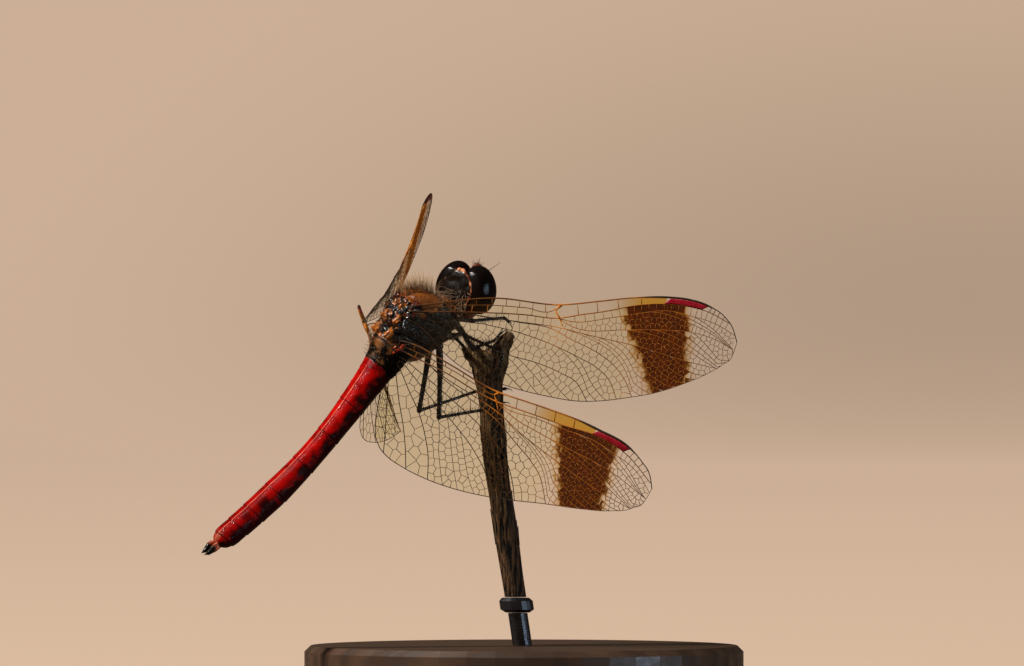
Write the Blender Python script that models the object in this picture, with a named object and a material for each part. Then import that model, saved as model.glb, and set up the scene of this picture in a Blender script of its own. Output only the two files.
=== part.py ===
"""A banded darter dragonfly at life size, at rest on a broken stem that a small turned stand holds.

Lengths are in millimetres and turn into metres where a mesh is made. The body axes run forward, to the
animal's left and up its back, from the middle of the thorax. The head has axes of its own, because it
is turned on its neck. The legs, the perch and the stand are laid out in the room's axes, with the
floor at z = 0 and the stand's centre at x = y = 0.
"""
import math

import bmesh
import bpy
from mathutils import Euler, Matrix, Vector

MM = 0.001
GAP = 0.05  # clear space between neighbouring pieces
HALF_TURN = math.pi

# Stance: where the body and the head are, and how far each rolls, tips and turns, in degrees
BODY_CENTRE = (-8.69, -5.90, 29.26)
BODY_TURN = (25.0, -46.6, 15.8)
HEAD_CENTRE = (-4.72, -4.17, 32.05)
HEAD_TURN = (11.5, 0.0, 55.0)

# Abdomen: each segment's front end on the body's long axis, and the radius there
ABDOMEN_STATIONS = [
    (-2.68, 1.78), (-3.15, 1.75), (-4.80, 1.42), (-8.70, 1.12), (-11.77, 1.01), (-14.91, 1.02),
    (-18.12, 1.10), (-20.60, 1.06), (-22.30, 1.02), (-23.80, 0.94), (-24.45, 0.66),
]
ABDOMEN_SAG = 0.95
WAIST_RISE = 0.45  # how far the waist's middle lies above the long axis
ABDOMEN_WIDE = 1.06
ABDOMEN_HIGH = 0.96
ABDOMEN_SIDES = 18
CERCUS_LENGTH = 1.45
EPIPROCT_LENGTH = 0.95

# Thorax: stations along the body, each with its lowest and highest point and its half width
THORAX_STATIONS = [
    (2.90, -2.15, 0.50, 1.10), (2.55, -2.38, 1.30, 1.50), (2.00, -2.52, 2.12, 1.84),
    (1.40, -2.58, 2.75, 2.04), (0.70, -2.58, 3.08, 2.14), (-0.10, -2.53, 3.14, 2.16),
    (-0.90, -2.42, 3.02, 2.10), (-1.60, -2.18, 2.82, 1.98), (-2.20, -1.92, 2.60, 1.80),
    (-2.62, -1.62, 2.36, 1.62),
]
THORAX_SIDES = 24
THORAX_SQUARE = 2.25
PROTHORAX_STATIONS = [(2.55, -2.25, 0.20, 1.02), (2.95, -2.10, 0.20, 1.05), (3.30, -1.75, 0.00, 0.75)]
NECK_START = (3.00, 0.0, -0.90)
NECK_END = (4.90, -0.10, -0.95)
NECK_RADIUS = 0.50

# Head, in its own axes
SKULL_CENTRE = (-0.35, 0.0, 0.10)
SKULL_RADII = (0.98, 1.60, 1.50)
EYE_CENTRE = (-0.05, 1.24, 0.32)
EYE_RADII = (1.62, 1.40, 2.02)
EYE_LEAN = 13.0
FACE_CENTRE = (0.72, 0.0, -0.15)
FACE_RADII = (1.05, 0.98, 1.72)
JAW_CENTRE = (0.42, 0.0, -1.72)
JAW_RADII = (1.02, 1.05, 0.62)
ANTENNA_ROOT = (1.62, 0.42, 1.28)
ANTENNA_TIP = (2.75, 1.05, 2.62)
ANTENNA_RADIUS = 0.25

# Wings: span, where the span line leaves the body, and the outline on each side of that line.
# Each outline point is (distance along the span, distance towards the hind edge).
WING_THICK = 0.5
FORE_SPAN = 26.95
FORE_ROOT = (0.20, 1.70, 2.40)
FORE_LEADING = [
    (-0.6, -0.2), (1.0, -0.6), (6.5, -1.7), (12.1, -1.75), (15.4, -2.4), (18.0, -2.95), (20.9, -3.3),
    (22.7, -3.3), (24.4, -2.95), (25.8, -2.2), (26.55, -1.3), (26.95, -0.3),
]
FORE_TRAILING = [
    (-0.6, 0.7), (1.2, 1.6), (3.0, 3.2), (5.0, 4.4), (8.3, 5.25), (12.0, 5.75), (14.4, 5.85),
    (16.4, 5.6), (18.5, 5.1), (20.6, 4.5), (22.7, 3.6), (24.8, 2.45), (25.95, 1.6), (26.75, 0.55),
    (26.95, -0.3),
]
HIND_SPAN = 25.3
HIND_ROOT = (-2.50, 1.70, 1.10)
HIND_LEADING = [
    (-0.6, -0.2), (0.9, -0.55), (5.0, -0.6), (9.6, -0.5), (12.5, -0.95), (15.0, -1.35), (17.4, -1.65),
    (19.3, -1.7), (22.5, -1.5), (23.8, -0.9), (24.9, 0.05), (25.3, 0.9),
]
HIND_TRAILING = [
    (-0.6, 2.2), (-0.1, 5.0), (0.5, 7.3), (1.3, 8.4), (2.3, 8.9), (3.8, 9.1), (6.0, 9.1), (8.5, 8.8),
    (11.0, 8.25), (13.8, 7.4), (16.6, 6.4), (20.0, 5.3), (22.4, 4.35), (24.2, 3.2), (25.0, 2.15),
    (25.3, 0.9),
]
# Each wing's forward sweep, droop, the pitch of its chord at the root and at the tip, in degrees,
# how far its middle arches up, and the share of the span over which the pitch changes
WINGS = {
    "forewing_right": ("fore", -1, 34.8, 25.2, 8.0, 28.0, 0.2, 1.0),
    "forewing_left": ("fore", 1, 28.6, 27.6, -4.7, 27.9, 0.46, 0.70),
    "hindwing_right": ("hind", -1, 9.7, 26.5, 32.0, 44.0, 0.5, 1.0),
    "hindwing_left": ("hind", 1, 12.2, 32.5, 29.7, 61.1, 0.59, 0.37),
}
WING_STATIONS = 22
WING_CHORD_STEPS = 6

# Legs: hip in the body axes, then knee, ankle and toe in the room's axes
LEGS = {
    "hindleg_right": ((0.22, -0.93, -2.15), (-6.93, -4.60, 21.72), (-3.62, -1.50, 22.25), (-1.50, -1.12, 22.95)),
    "hindleg_left": ((0.50, 0.72, -2.20), (-8.57, -3.00, 22.25), (-3.95, 1.30, 23.80), (-1.25, 1.52, 24.05)),
    "midleg_right": ((1.10, -1.05, -2.25), (-5.10, -1.40, 28.55), (-1.72, -1.72, 27.00), (-1.95, -1.62, 25.80)),
    "midleg_left": ((1.32, 1.00, -2.25), (-5.60, 1.20, 28.20), (-3.30, 2.05, 25.70), (-2.90, 1.62, 24.95)),
    "foreleg_right": ((2.30, -0.80, -2.15), (-4.20, -1.90, 27.30), (-2.45, 0.35, 27.95), (-1.78, 0.20, 28.75)),
    "foreleg_left": ((2.30, 0.80, -2.15), (-4.20, -0.90, 29.60), (-1.56, 0.20, 29.84), (-1.15, 0.25, 29.42)),
}
FEMUR_RADII = (0.36, 0.28)
TIBIA_RADII = (0.27, 0.25)
TARSUS_RADII = (0.25, 0.25)
LEG_SIDES = 8

# Perch: height, middle and radius of the stem at each station, and the two splinters of its broken top
STEM_STATIONS = [
    (6.95, -0.70, 0.92), (10.0, -1.15, 0.95), (14.9, -1.86, 1.00), (20.6, -2.57, 1.02),
    (23.3, -2.74, 0.99), (24.5, -2.87, 1.15), (25.5, -2.84, 1.42), (26.3, -2.80, 1.64),
    (27.05, -2.86, 1.56),
]
STEM_SIDES = 14
STEM_RIBS = 0.05
STEM_RIB_COUNT = 5
CROWN_DIP = 0.45
PRONG_PATH = [(-2.35, 0.0, 26.2), (-1.80, 0.05, 27.4), (-1.32, 0.10, 28.15), (-0.95, 0.15, 28.62)]
PRONG_RADII = (0.80, 0.66, 0.55, 0.42)
FLAP_PATH = [(-3.9, -0.3, 26.2), (-4.45, -0.35, 26.9), (-5.05, -0.40, 27.45)]
FLAP_RADII = (0.60, 0.50, 0.26)

# Stand: a turned wooden foot, a steel rod in line with the stem and a collar under the stem
BASE_RADIUS = 18.0
BASE_HEIGHT = 3.0
BASE_EDGE = 0.5
BASE_SIDES = 48
ROD_RADIUS = 0.8
ROD_SIDES = 20
COLLAR_BOTTOM = 5.70
COLLAR_RADII = (1.00, 1.38, 1.38, 1.12)
COLLAR_STEPS = (0.0, 0.25, 0.95, 1.20)


def clear_scene():
    """Removes what the file opened with."""
    for item in list(bpy.data.objects):
        bpy.data.objects.remove(item, do_unlink=True)


def finish(name, colour, roughness, metallic=0.0):
    """Makes one plain surface finish."""
    material = bpy.data.materials.new(name)
    material.use_nodes = True
    shader = material.node_tree.nodes["Principled BSDF"]
    shader.inputs["Base Color"].default_value = (*colour, 1.0)
    shader.inputs["Roughness"].default_value = roughness
    shader.inputs["Metallic"].default_value = metallic
    material.diffuse_color = (*colour, 1.0)
    return material


def axes(name, centre, turn):
    """An empty that carries a set of axes."""
    empty = bpy.data.objects.new(name, None)
    empty.location = Vector(centre) * MM
    empty.rotation_euler = Euler([math.radians(angle) for angle in turn])
    bpy.context.scene.collection.objects.link(empty)
    bpy.context.view_layer.update()
    return empty


def body_to_room(point):
    """A point of the body axes in the room's axes, in millimetres."""
    turn = Euler([math.radians(angle) for angle in BODY_TURN]).to_matrix()
    return Vector(BODY_CENTRE) + turn @ Vector(point)


def make_object(name, shape, material, parent=None):
    """Turns a mesh in millimetres into a named object in metres."""
    bmesh.ops.recalc_face_normals(shape, faces=shape.faces)
    bmesh.ops.scale(shape, vec=(MM, MM, MM), verts=shape.verts)
    mesh = bpy.data.meshes.new(name)
    shape.to_mesh(mesh)
    shape.free()
    mesh.shade_smooth()
    mesh.set_sharp_from_angle(angle=math.radians(40.0))
    mesh.materials.append(material)
    thing = bpy.data.objects.new(name, mesh)
    thing.parent = parent
    bpy.context.scene.collection.objects.link(thing)
    return thing


def hide_tool(thing):
    """Keeps a cutter or an operand out of the model."""
    thing.hide_render = True
    thing.display_type = "WIRE"
    return thing


def cutter_of(thing, grow=GAP):
    """A copy of a piece, grown by the clear gap, for cutting its neighbours."""
    mesh = thing.data.copy()
    shape = bmesh.new()
    shape.from_mesh(mesh)
    shape.normal_update()
    moves = [vertex.normal * grow * MM for vertex in shape.verts]
    for vertex, move in zip(shape.verts, moves):
        vertex.co += move
    shape.to_mesh(mesh)
    shape.free()
    copy = bpy.data.objects.new(thing.name + "_cutter", mesh)
    copy.parent = thing.parent
    bpy.context.scene.collection.objects.link(copy)
    return hide_tool(copy)


def grown_copy(thing):
    """A cutter from a piece whose own Booleans are done first."""
    bpy.context.view_layer.update()
    whole = thing.evaluated_get(bpy.context.evaluated_depsgraph_get())
    mesh = bpy.data.meshes.new_from_object(whole)
    solid = bpy.data.objects.new(thing.name + "_whole", mesh)
    copy = cutter_of(solid)
    bpy.data.objects.remove(solid)
    return copy


def boolean(thing, other, operation="DIFFERENCE"):
    """Cuts another shape out of a piece, or joins it on."""
    modifier = thing.modifiers.new(operation.title(), "BOOLEAN")
    modifier.operation = operation
    modifier.solver = "EXACT"
    modifier.object = other


def loft(rings):
    """A closed shape through rings of equal length, with flat ends."""
    shape = bmesh.new()
    rows = [[shape.verts.new(point) for point in ring] for ring in rings]
    count = len(rows[0])
    for row, following in zip(rows, rows[1:]):
        for i in range(count):
            j = (i + 1) % count
            shape.faces.new((row[i], row[j], following[j], following[i]))
    shape.faces.new(list(reversed(rows[0])))
    shape.faces.new(rows[-1])
    return shape


def ellipsoid(centre, radii, segments, rings, lean=0.0):
    """An ellipsoid, leaned about the front-to-back axis by some degrees."""
    shape = bmesh.new()
    place = Matrix.Translation(centre) @ Matrix.Rotation(math.radians(lean), 4, "X") @ Matrix.Diagonal((*radii, 1.0))
    bmesh.ops.create_uvsphere(shape, u_segments=segments, v_segments=rings, radius=1.0, matrix=place)
    return shape


def side_axes(direction):
    """Two directions square to a given one."""
    reference = Vector((0, 0, 1)) if abs(direction.z) < 0.9 else Vector((1, 0, 0))
    across = direction.cross(reference).normalized()
    return across, direction.cross(across).normalized()


def tube(path, radii, sides, start_plane=None, end_plane=None):
    """A round bar along a path, mitred at its bends and, where a plane is given, at its ends."""
    points = [Vector(point) for point in path]
    steps = [(b - a).normalized() for a, b in zip(points, points[1:])]
    across, _ = side_axes(steps[0])
    rings = []
    for i, point in enumerate(points):
        before, after = steps[max(i - 1, 0)], steps[min(i, len(steps) - 1)]
        plane = (before + after).normalized()
        if i == 0 and start_plane is not None:
            plane = start_plane
        if i == len(points) - 1 and end_plane is not None:
            plane = end_plane
        along = after if i == 0 else before
        across = (across - across.dot(along) * along).normalized()
        other = along.cross(across)
        ring = []
        for k in range(sides):
            angle = 2 * math.pi * k / sides
            rim = radii[i] * (math.cos(angle) * across + math.sin(angle) * other)
            slide = -rim.dot(plane) / along.dot(plane)
            ring.append(point + rim + slide * along)
        rings.append(ring)
    return loft(rings)


def oval_ring(x, low, high, half_width, sides, power=2.0, y=0.0):
    """An oval square to the body's long axis; a power over 2 makes it squarer."""
    ring = []
    middle, half_height = (low + high) / 2, (high - low) / 2
    for k in range(sides):
        angle = 2 * math.pi * k / sides
        cosine, sine = math.cos(angle), math.sin(angle)
        across = math.copysign(abs(cosine) ** (2 / power), cosine)
        upward = math.copysign(abs(sine) ** (2 / power), sine)
        ring.append(Vector((x, y + half_width * across, middle + half_height * upward)))
    return ring


def abdomen_line(x):
    """Height of the abdomen's middle: a raised waist, then a shallow sag to the tip."""
    top, front, back = ABDOMEN_STATIONS[0][0], ABDOMEN_STATIONS[2][0], ABDOMEN_STATIONS[-1][0]
    share = min(max((x - front) / (back - front), 0.0), 1.0)
    rise = min(max((x - front) / (top - front), 0.0), 1.0)
    return WAIST_RISE * rise * rise * (3 - 2 * rise) - ABDOMEN_SAG * math.sin(HALF_TURN * share)


def abdomen_ring(x, radius):
    """One cross-section of the abdomen."""
    middle = abdomen_line(x)
    low, high = middle - ABDOMEN_HIGH * radius, middle + ABDOMEN_HIGH * radius
    return oval_ring(x, low, high, ABDOMEN_WIDE * radius, ABDOMEN_SIDES, 2.1)


def build_abdomen(body, skins):
    """Ten segments that meet end to end, a touch fuller in their middles; gives the first three."""
    segments = []
    for number, (front, back) in enumerate(zip(ABDOMEN_STATIONS, ABDOMEN_STATIONS[1:]), start=1):
        start, end = front[0] - GAP / 2, back[0] + GAP / 2
        rings = []
        for share in (0.0, 0.34, 0.67, 1.0):
            radius = front[1] + (back[1] - front[1]) * share
            fuller = 0.03 * math.sin(HALF_TURN * share)
            rings.append(abdomen_ring(start + (end - start) * share, radius + fuller))
        skin = skins["waist"] if number <= 2 else skins["abdomen"]
        segments.append(make_object(f"abdomen_{number}", loft(rings), skin, body))
    return segments[:3]


def build_tail_claspers(body, skins):
    """The two upper claspers and the plate between and below them."""
    start = ABDOMEN_STATIONS[-1][0] - GAP
    height = abdomen_line(start)
    for name, side in (("cercus_right", -1), ("cercus_left", 1)):
        path = [
            (start, side * 0.33, height + 0.22),
            (start - 0.6 * CERCUS_LENGTH, side * 0.36, height + 0.26),
            (start - CERCUS_LENGTH, side * 0.30, height + 0.38),
        ]
        make_object(name, tube(path, (0.25, 0.24, 0.10), LEG_SIDES, Vector((1, 0, 0))), skins["clasper"], body)
    path = [(start, 0, height - 0.30), (start - EPIPROCT_LENGTH, 0, height - 0.22)]
    make_object("epiproct", tube(path, (0.24, 0.15), LEG_SIDES, Vector((1, 0, 0))), skins["clasper"], body)


def build_thorax(body, skins):
    """The winged thorax, the small front thorax with its neck, and the cutters that clear them."""
    rings = [oval_ring(*station, THORAX_SIDES, THORAX_SQUARE) for station in THORAX_STATIONS]
    thorax = make_object("thorax", loft(rings), skins["thorax"], body)
    thorax_cutter = cutter_of(thorax)
    rings = [oval_ring(*station, 16) for station in PROTHORAX_STATIONS]
    prothorax = make_object("prothorax", loft(rings), skins["thorax"], body)
    prothorax_cutter = cutter_of(prothorax)
    boolean(prothorax, thorax_cutter)
    neck = make_object("neck", tube([NECK_START, NECK_END], (NECK_RADIUS,) * 2, 12), skins["neck"], body)
    boolean(neck, prothorax_cutter)
    return thorax_cutter, prothorax_cutter, prothorax, neck


def half_eye(side):
    """An eye's ellipsoid, cut flat where the two eyes meet on the crown."""
    x, y, z = EYE_CENTRE
    shape = ellipsoid((x, side * y, z), EYE_RADII, 22, 14, side * EYE_LEAN)
    plane = Vector((0, side * GAP / 2, 0))
    everything = shape.verts[:] + shape.edges[:] + shape.faces[:]
    cut = bmesh.ops.bisect_plane(
        shape, geom=everything, plane_co=plane, plane_no=(0, -side, 0), clear_outer=True, dist=1e-6
    )
    rim = [item for item in cut["geom_cut"] if isinstance(item, bmesh.types.BMEdge)]
    bmesh.ops.contextual_create(shape, geom=rim)
    return shape


def build_head(head, prothorax, neck, skins):
    """The skull, the face and the jaw, each clear of the ones before it, and the eyes round them."""
    skull = make_object("head", ellipsoid(SKULL_CENTRE, SKULL_RADII, 18, 12), skins["skull"], head)
    face = make_object("face", ellipsoid(FACE_CENTRE, FACE_RADII, 18, 12), skins["face"], head)
    jaw = make_object("jaw", ellipsoid(JAW_CENTRE, JAW_RADII, 16, 8), skins["jaw"], head)
    skull_cutter, face_cutter, jaw_cutter = cutter_of(skull), cutter_of(face), cutter_of(jaw)
    boolean(face, skull_cutter)
    for cutter in (skull_cutter, face_cutter):
        boolean(jaw, cutter)
    boolean(neck, skull_cutter)
    boolean(prothorax, skull_cutter)
    for name, side in (("eye_right", -1), ("eye_left", 1)):
        eye = make_object(name, half_eye(side), skins["eye"], head)
        eye_cutter = cutter_of(eye)
        boolean(prothorax, eye_cutter)
        boolean(neck, eye_cutter)
        for cutter in (skull_cutter, face_cutter, jaw_cutter):
            boolean(eye, cutter)
    for name, side in (("antenna_right", -1), ("antenna_left", 1)):
        path = [(x, side * y, z) for x, y, z in (ANTENNA_ROOT, ANTENNA_TIP)]
        make_object(name, tube(path, (ANTENNA_RADIUS, 0.8 * ANTENNA_RADIUS), LEG_SIDES), skins["leg"], head)


def read_outline(points, u):
    """The outline's height at a distance along the span, from a smooth curve through its points."""
    last = len(points) - 2
    k = next((i for i in range(last) if points[i + 1][0] >= u), last)
    before, start = points[max(k - 1, 0)], points[k]
    end, after = points[k + 1], points[min(k + 2, last + 1)]
    width = end[0] - start[0]
    t = min(max((u - start[0]) / width, 0.0), 1.0)
    slope_in = (end[1] - before[1]) / (end[0] - before[0]) * width
    slope_out = (after[1] - start[1]) / max(after[0] - start[0], 1e-6) * width
    rise = end[1] - start[1]
    return (
        start[1] + t * slope_in + t * t * (3 * rise - 2 * slope_in - slope_out)
        + t * t * t * (slope_in + slope_out - 2 * rise)
    )


def wing_axes(side, sweep, droop):
    """A wing's span direction and, square to it, the rearward and upward directions at no pitch."""
    sweep, droop = math.radians(sweep), math.radians(droop)
    span = Vector((
        math.sin(sweep) * math.cos(droop), side * math.cos(sweep) * math.cos(droop), -math.sin(droop)
    ))
    rear = Vector((-1, 0, 0))
    rear = (rear - rear.dot(span) * span).normalized()
    upward = rear.cross(span) if side < 0 else span.cross(rear)
    return span, rear, upward


def wing_point(wing, u, v, lift):
    """A point on a wing: u along its span, v towards its hind edge, lift off its middle surface."""
    kind, side, sweep, droop, root_pitch, tip_pitch, arch, settled = wing
    root, length = (FORE_ROOT, FORE_SPAN) if kind == "fore" else (HIND_ROOT, HIND_SPAN)
    span, rear, upward = wing_axes(side, sweep, droop)
    share = min(max(u / length, 0.0), 1.0)
    pitch = math.radians(root_pitch + (tip_pitch - root_pitch) * min(share / settled, 1.0))
    chord = math.cos(pitch) * rear - math.sin(pitch) * upward
    normal = math.cos(pitch) * upward + math.sin(pitch) * rear
    base = Vector((root[0], side * root[1], root[2]))
    return base + span * u + chord * v + normal * (arch * math.sin(HALF_TURN * share) + lift)


def build_wing(name, wing, body, skins):
    """A thin plate with the wing's true outline, closer stations towards the round tip."""
    leading, trailing = (FORE_LEADING, FORE_TRAILING) if wing[0] == "fore" else (HIND_LEADING, HIND_TRAILING)
    start, end = leading[0][0], leading[-1][0]
    rings = []
    for i in range(WING_STATIONS + 1):
        share = i / WING_STATIONS
        u = start + (end - start) * math.sin(share * HALF_TURN / 2) ** 0.85 if i else start
        u = min(u, end - 0.06)
        front, back = read_outline(leading, u), read_outline(trailing, u)
        across = [front + (back - front) * j / WING_CHORD_STEPS for j in range(WING_CHORD_STEPS + 1)]
        top = [wing_point(wing, u, v, WING_THICK / 2) for v in across]
        under = [wing_point(wing, u, v, -WING_THICK / 2) for v in reversed(across)]
        rings.append(top + under)
    return make_object(name, loft(rings), skins["wing"], body)


def build_leg(name, points, skins, trunk_cutters, perch_cutter):
    """A leg in three lengths that part on mitred planes at its knee and its ankle."""
    hip, knee, ankle, toe = body_to_room(points[0]), *(Vector(point) for point in points[1:])
    thigh, shin, foot = ((b - a).normalized() for a, b in ((hip, knee), (knee, ankle), (ankle, toe)))
    knee_plane, ankle_plane = (thigh + shin).normalized(), (shin + foot).normalized()
    lengths = {
        "femur": (hip, knee - thigh * GAP, FEMUR_RADII, None, knee_plane),
        "tibia": (knee + shin * GAP, ankle - shin * GAP, TIBIA_RADII, knee_plane, ankle_plane),
        "tarsus": (ankle + foot * GAP, toe, TARSUS_RADII, ankle_plane, None),
    }
    for part, (start, end, radii, start_plane, end_plane) in lengths.items():
        shape = tube([start, end], radii, LEG_SIDES, start_plane, end_plane)
        piece = make_object(f"{name}_{part}", shape, skins["leg"])
        for cutter in trunk_cutters if part == "femur" else (perch_cutter,):
            boolean(piece, cutter)


def stem_ring(height, middle, radius, dip=0.0):
    """A ribbed cross-section of the stem; a dip makes its rim uneven, as where it broke."""
    ring = []
    for k in range(STEM_SIDES):
        angle = 2 * math.pi * k / STEM_SIDES
        reach = radius * (1 + STEM_RIBS * math.sin(STEM_RIB_COUNT * angle + 0.6 * height))
        drop = dip * math.sin(1.3 + 2 * angle) ** 2
        ring.append(Vector((middle + reach * math.cos(angle), reach * math.sin(angle), height - drop)))
    return ring


def build_perch(skins):
    """The short cut stem, with the splinters of its broken top joined on."""
    rings = [stem_ring(*station) for station in STEM_STATIONS[:-1]]
    height, middle, radius = STEM_STATIONS[-1]
    rings.append(stem_ring(height, middle, radius, CROWN_DIP))
    rings.append(stem_ring(height - 0.35, middle, 0.45 * radius, 0.0))
    perch = make_object("perch", loft(rings), skins["stem"])
    for name, path, radii in (("prong", PRONG_PATH, PRONG_RADII), ("flap", FLAP_PATH, FLAP_RADII)):
        boolean(perch, hide_tool(make_object(name, tube(path, radii, 10), skins["stem"])), "UNION")
    return grown_copy(perch)


def lean_of_stem(height):
    """Where the line of the stem's lowest stretch is at a height."""
    (low, x_low, _), (high, x_high, _) = STEM_STATIONS[0], STEM_STATIONS[2]
    return x_low + (x_high - x_low) * (height - low) / (high - low)


def turned(profile):
    """A solid turned about a leaning axis from (height, middle, radius, sides) steps."""
    rings = []
    for height, middle, radius, sides in profile:
        angles = [2 * math.pi * k / sides for k in range(sides)]
        rings.append([Vector((middle + radius * math.cos(a), radius * math.sin(a), height)) for a in angles])
    return loft(rings)


def build_stand(skins):
    """The turned foot, the short rod and the collar that the stem stands in."""
    edge, top = BASE_EDGE, BASE_HEIGHT
    steps = [(0.0, BASE_RADIUS - 0.3), (0.3, BASE_RADIUS), (top - edge, BASE_RADIUS), (top, BASE_RADIUS - edge)]
    make_object("stand_base", turned([(z, 0.0, radius, BASE_SIDES) for z, radius in steps]), skins["base"])
    ends = (BASE_HEIGHT + GAP, COLLAR_BOTTOM - GAP)
    rod = turned([(z, lean_of_stem(z), ROD_RADIUS, ROD_SIDES) for z in ends])
    make_object("stand_rod", rod, skins["metal"])
    heights = [COLLAR_BOTTOM + step for step in COLLAR_STEPS]
    profile = [(z, lean_of_stem(z), r, ROD_SIDES) for z, r in zip(heights, COLLAR_RADII)]
    make_object("stand_collar", turned(profile), skins["metal"])


def make_finishes():
    """One finish for each kind of surface."""
    return {
        "abdomen": finish("abdomen_red", (0.52, 0.02, 0.01), 0.35),
        "waist": finish("waist_brown", (0.12, 0.05, 0.02), 0.45),
        "clasper": finish("clasper_black", (0.03, 0.015, 0.012), 0.3),
        "thorax": finish("thorax_brown", (0.16, 0.06, 0.02), 0.5),
        "neck": finish("neck_brown", (0.10, 0.05, 0.03), 0.6),
        "skull": finish("head_black", (0.05, 0.025, 0.015), 0.4),
        "face": finish("face_red", (0.30, 0.05, 0.02), 0.35),
        "jaw": finish("jaw_orange", (0.35, 0.12, 0.03), 0.4),
        "eye": finish("eye_dark", (0.045, 0.010, 0.008), 0.12),
        "wing": finish("wing_amber", (0.55, 0.42, 0.22), 0.3),
        "leg": finish("leg_black", (0.012, 0.012, 0.012), 0.35),
        "stem": finish("stem_brown", (0.05, 0.035, 0.025), 0.8),
        "metal": finish("rod_black_steel", (0.06, 0.06, 0.065), 0.35, 1.0),
        "base": finish("base_wood", (0.16, 0.08, 0.04), 0.4),
    }


def main():
    clear_scene()
    skins = make_finishes()
    body = axes("body_axes", BODY_CENTRE, BODY_TURN)
    head = axes("head_axes", HEAD_CENTRE, HEAD_TURN)
    thorax_cutter, prothorax_cutter, prothorax, neck = build_thorax(body, skins)
    trunk_cutters = [thorax_cutter] + [cutter_of(segment) for segment in build_abdomen(body, skins)]
    build_tail_claspers(body, skins)
    build_head(head, prothorax, neck, skins)
    for name, wing in WINGS.items():
        plate = build_wing(name, wing, body, skins)
        for cutter in trunk_cutters if wing[0] == "hind" else trunk_cutters[:1]:
            boolean(plate, cutter)
    perch_cutter = build_perch(skins)
    for name, points in LEGS.items():
        build_leg(name, points, skins, (thorax_cutter, prothorax_cutter), perch_cutter)
    build_stand(skins)


main()
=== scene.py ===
"""A banded darter dragonfly at rest on a broken stem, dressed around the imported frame.

Shapes are worked out in millimetres and turn into metres where a mesh is made. The body axes run
forward, to the animal's left and up its back, from the middle of the thorax; the head has its own.
A wing is laid out flat first: u runs along its span and v towards its hind edge.
"""
import math

import bpy
import numpy as np
from mathutils import Euler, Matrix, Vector, noise


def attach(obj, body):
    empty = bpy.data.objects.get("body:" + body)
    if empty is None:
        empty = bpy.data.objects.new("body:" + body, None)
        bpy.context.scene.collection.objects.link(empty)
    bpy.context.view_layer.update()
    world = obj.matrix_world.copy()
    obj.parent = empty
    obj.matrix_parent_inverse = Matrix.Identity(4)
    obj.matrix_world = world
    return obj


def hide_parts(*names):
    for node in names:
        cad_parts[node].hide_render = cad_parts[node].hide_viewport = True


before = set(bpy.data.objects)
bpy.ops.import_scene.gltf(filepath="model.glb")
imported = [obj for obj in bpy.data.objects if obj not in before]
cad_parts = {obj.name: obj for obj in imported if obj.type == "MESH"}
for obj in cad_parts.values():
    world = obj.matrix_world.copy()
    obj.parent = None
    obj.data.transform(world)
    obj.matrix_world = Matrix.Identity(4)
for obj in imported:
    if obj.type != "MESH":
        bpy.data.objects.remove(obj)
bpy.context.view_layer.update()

bl_info = {
    "name": "Banded Darter",
    "version": (1, 0, 0),
    "blender": (4, 5, 0),
    "location": "View3D > Sidebar > Darter",
    "description": "Builds a life-size banded darter dragonfly on a cut stem and a display stand",
    "category": "Object",
}

MM = 0.001
TURN = 2 * math.pi

# Stance: where the body and the head are, and how far each rolls, tips and turns, in degrees
BODY_CENTRE = np.array((-8.69, -5.90, 29.26))
BODY_TURN = (25.0, -46.6, 15.8)
HEAD_CENTRE = np.array((-4.72, -4.17, 32.05))
HEAD_TURN = (11.5, 0.0, 55.0)

# Abdomen: each segment's front end on the body's long axis, and the radius there
ABDOMEN_STATIONS = [
    (-2.68, 1.74), (-3.15, 1.72), (-4.80, 1.40), (-8.70, 1.10), (-11.77, 0.99), (-14.91, 1.00),
    (-18.12, 1.08), (-20.60, 1.04), (-22.30, 1.00), (-23.80, 0.88), (-24.45, 0.54),
]
ABDOMEN_SKIN = (-2.60, -24.47)
ABDOMEN_TWIST = math.radians(8.0)
CLASPER_ROOT = -24.42
ABDOMEN_SAG = 0.95
WAIST_RISE = 0.45

# Thorax with the front thorax and the neck: station, lowest and highest point, half width
TRUNK_STATIONS = [
    (-2.62, -1.57, 2.30, 1.58), (-2.20, -1.88, 2.56, 1.77), (-1.60, -2.14, 2.78, 1.95),
    (-0.90, -2.38, 2.98, 2.07), (-0.10, -2.49, 3.10, 2.13), (0.70, -2.54, 3.04, 2.11),
    (1.40, -2.54, 2.71, 2.01), (2.00, -2.48, 2.08, 1.81), (2.55, -2.34, 1.26, 1.47),
    (2.90, -2.10, 0.44, 1.05), (3.08, -1.90, 0.10, 0.92), (3.28, -1.70, -0.04, 0.72),
    (3.42, -1.38, -0.40, 0.46), (4.00, -1.35, -0.50, 0.42),
]
TRUNK_SKIN = (-2.66, 4.0)

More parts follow.
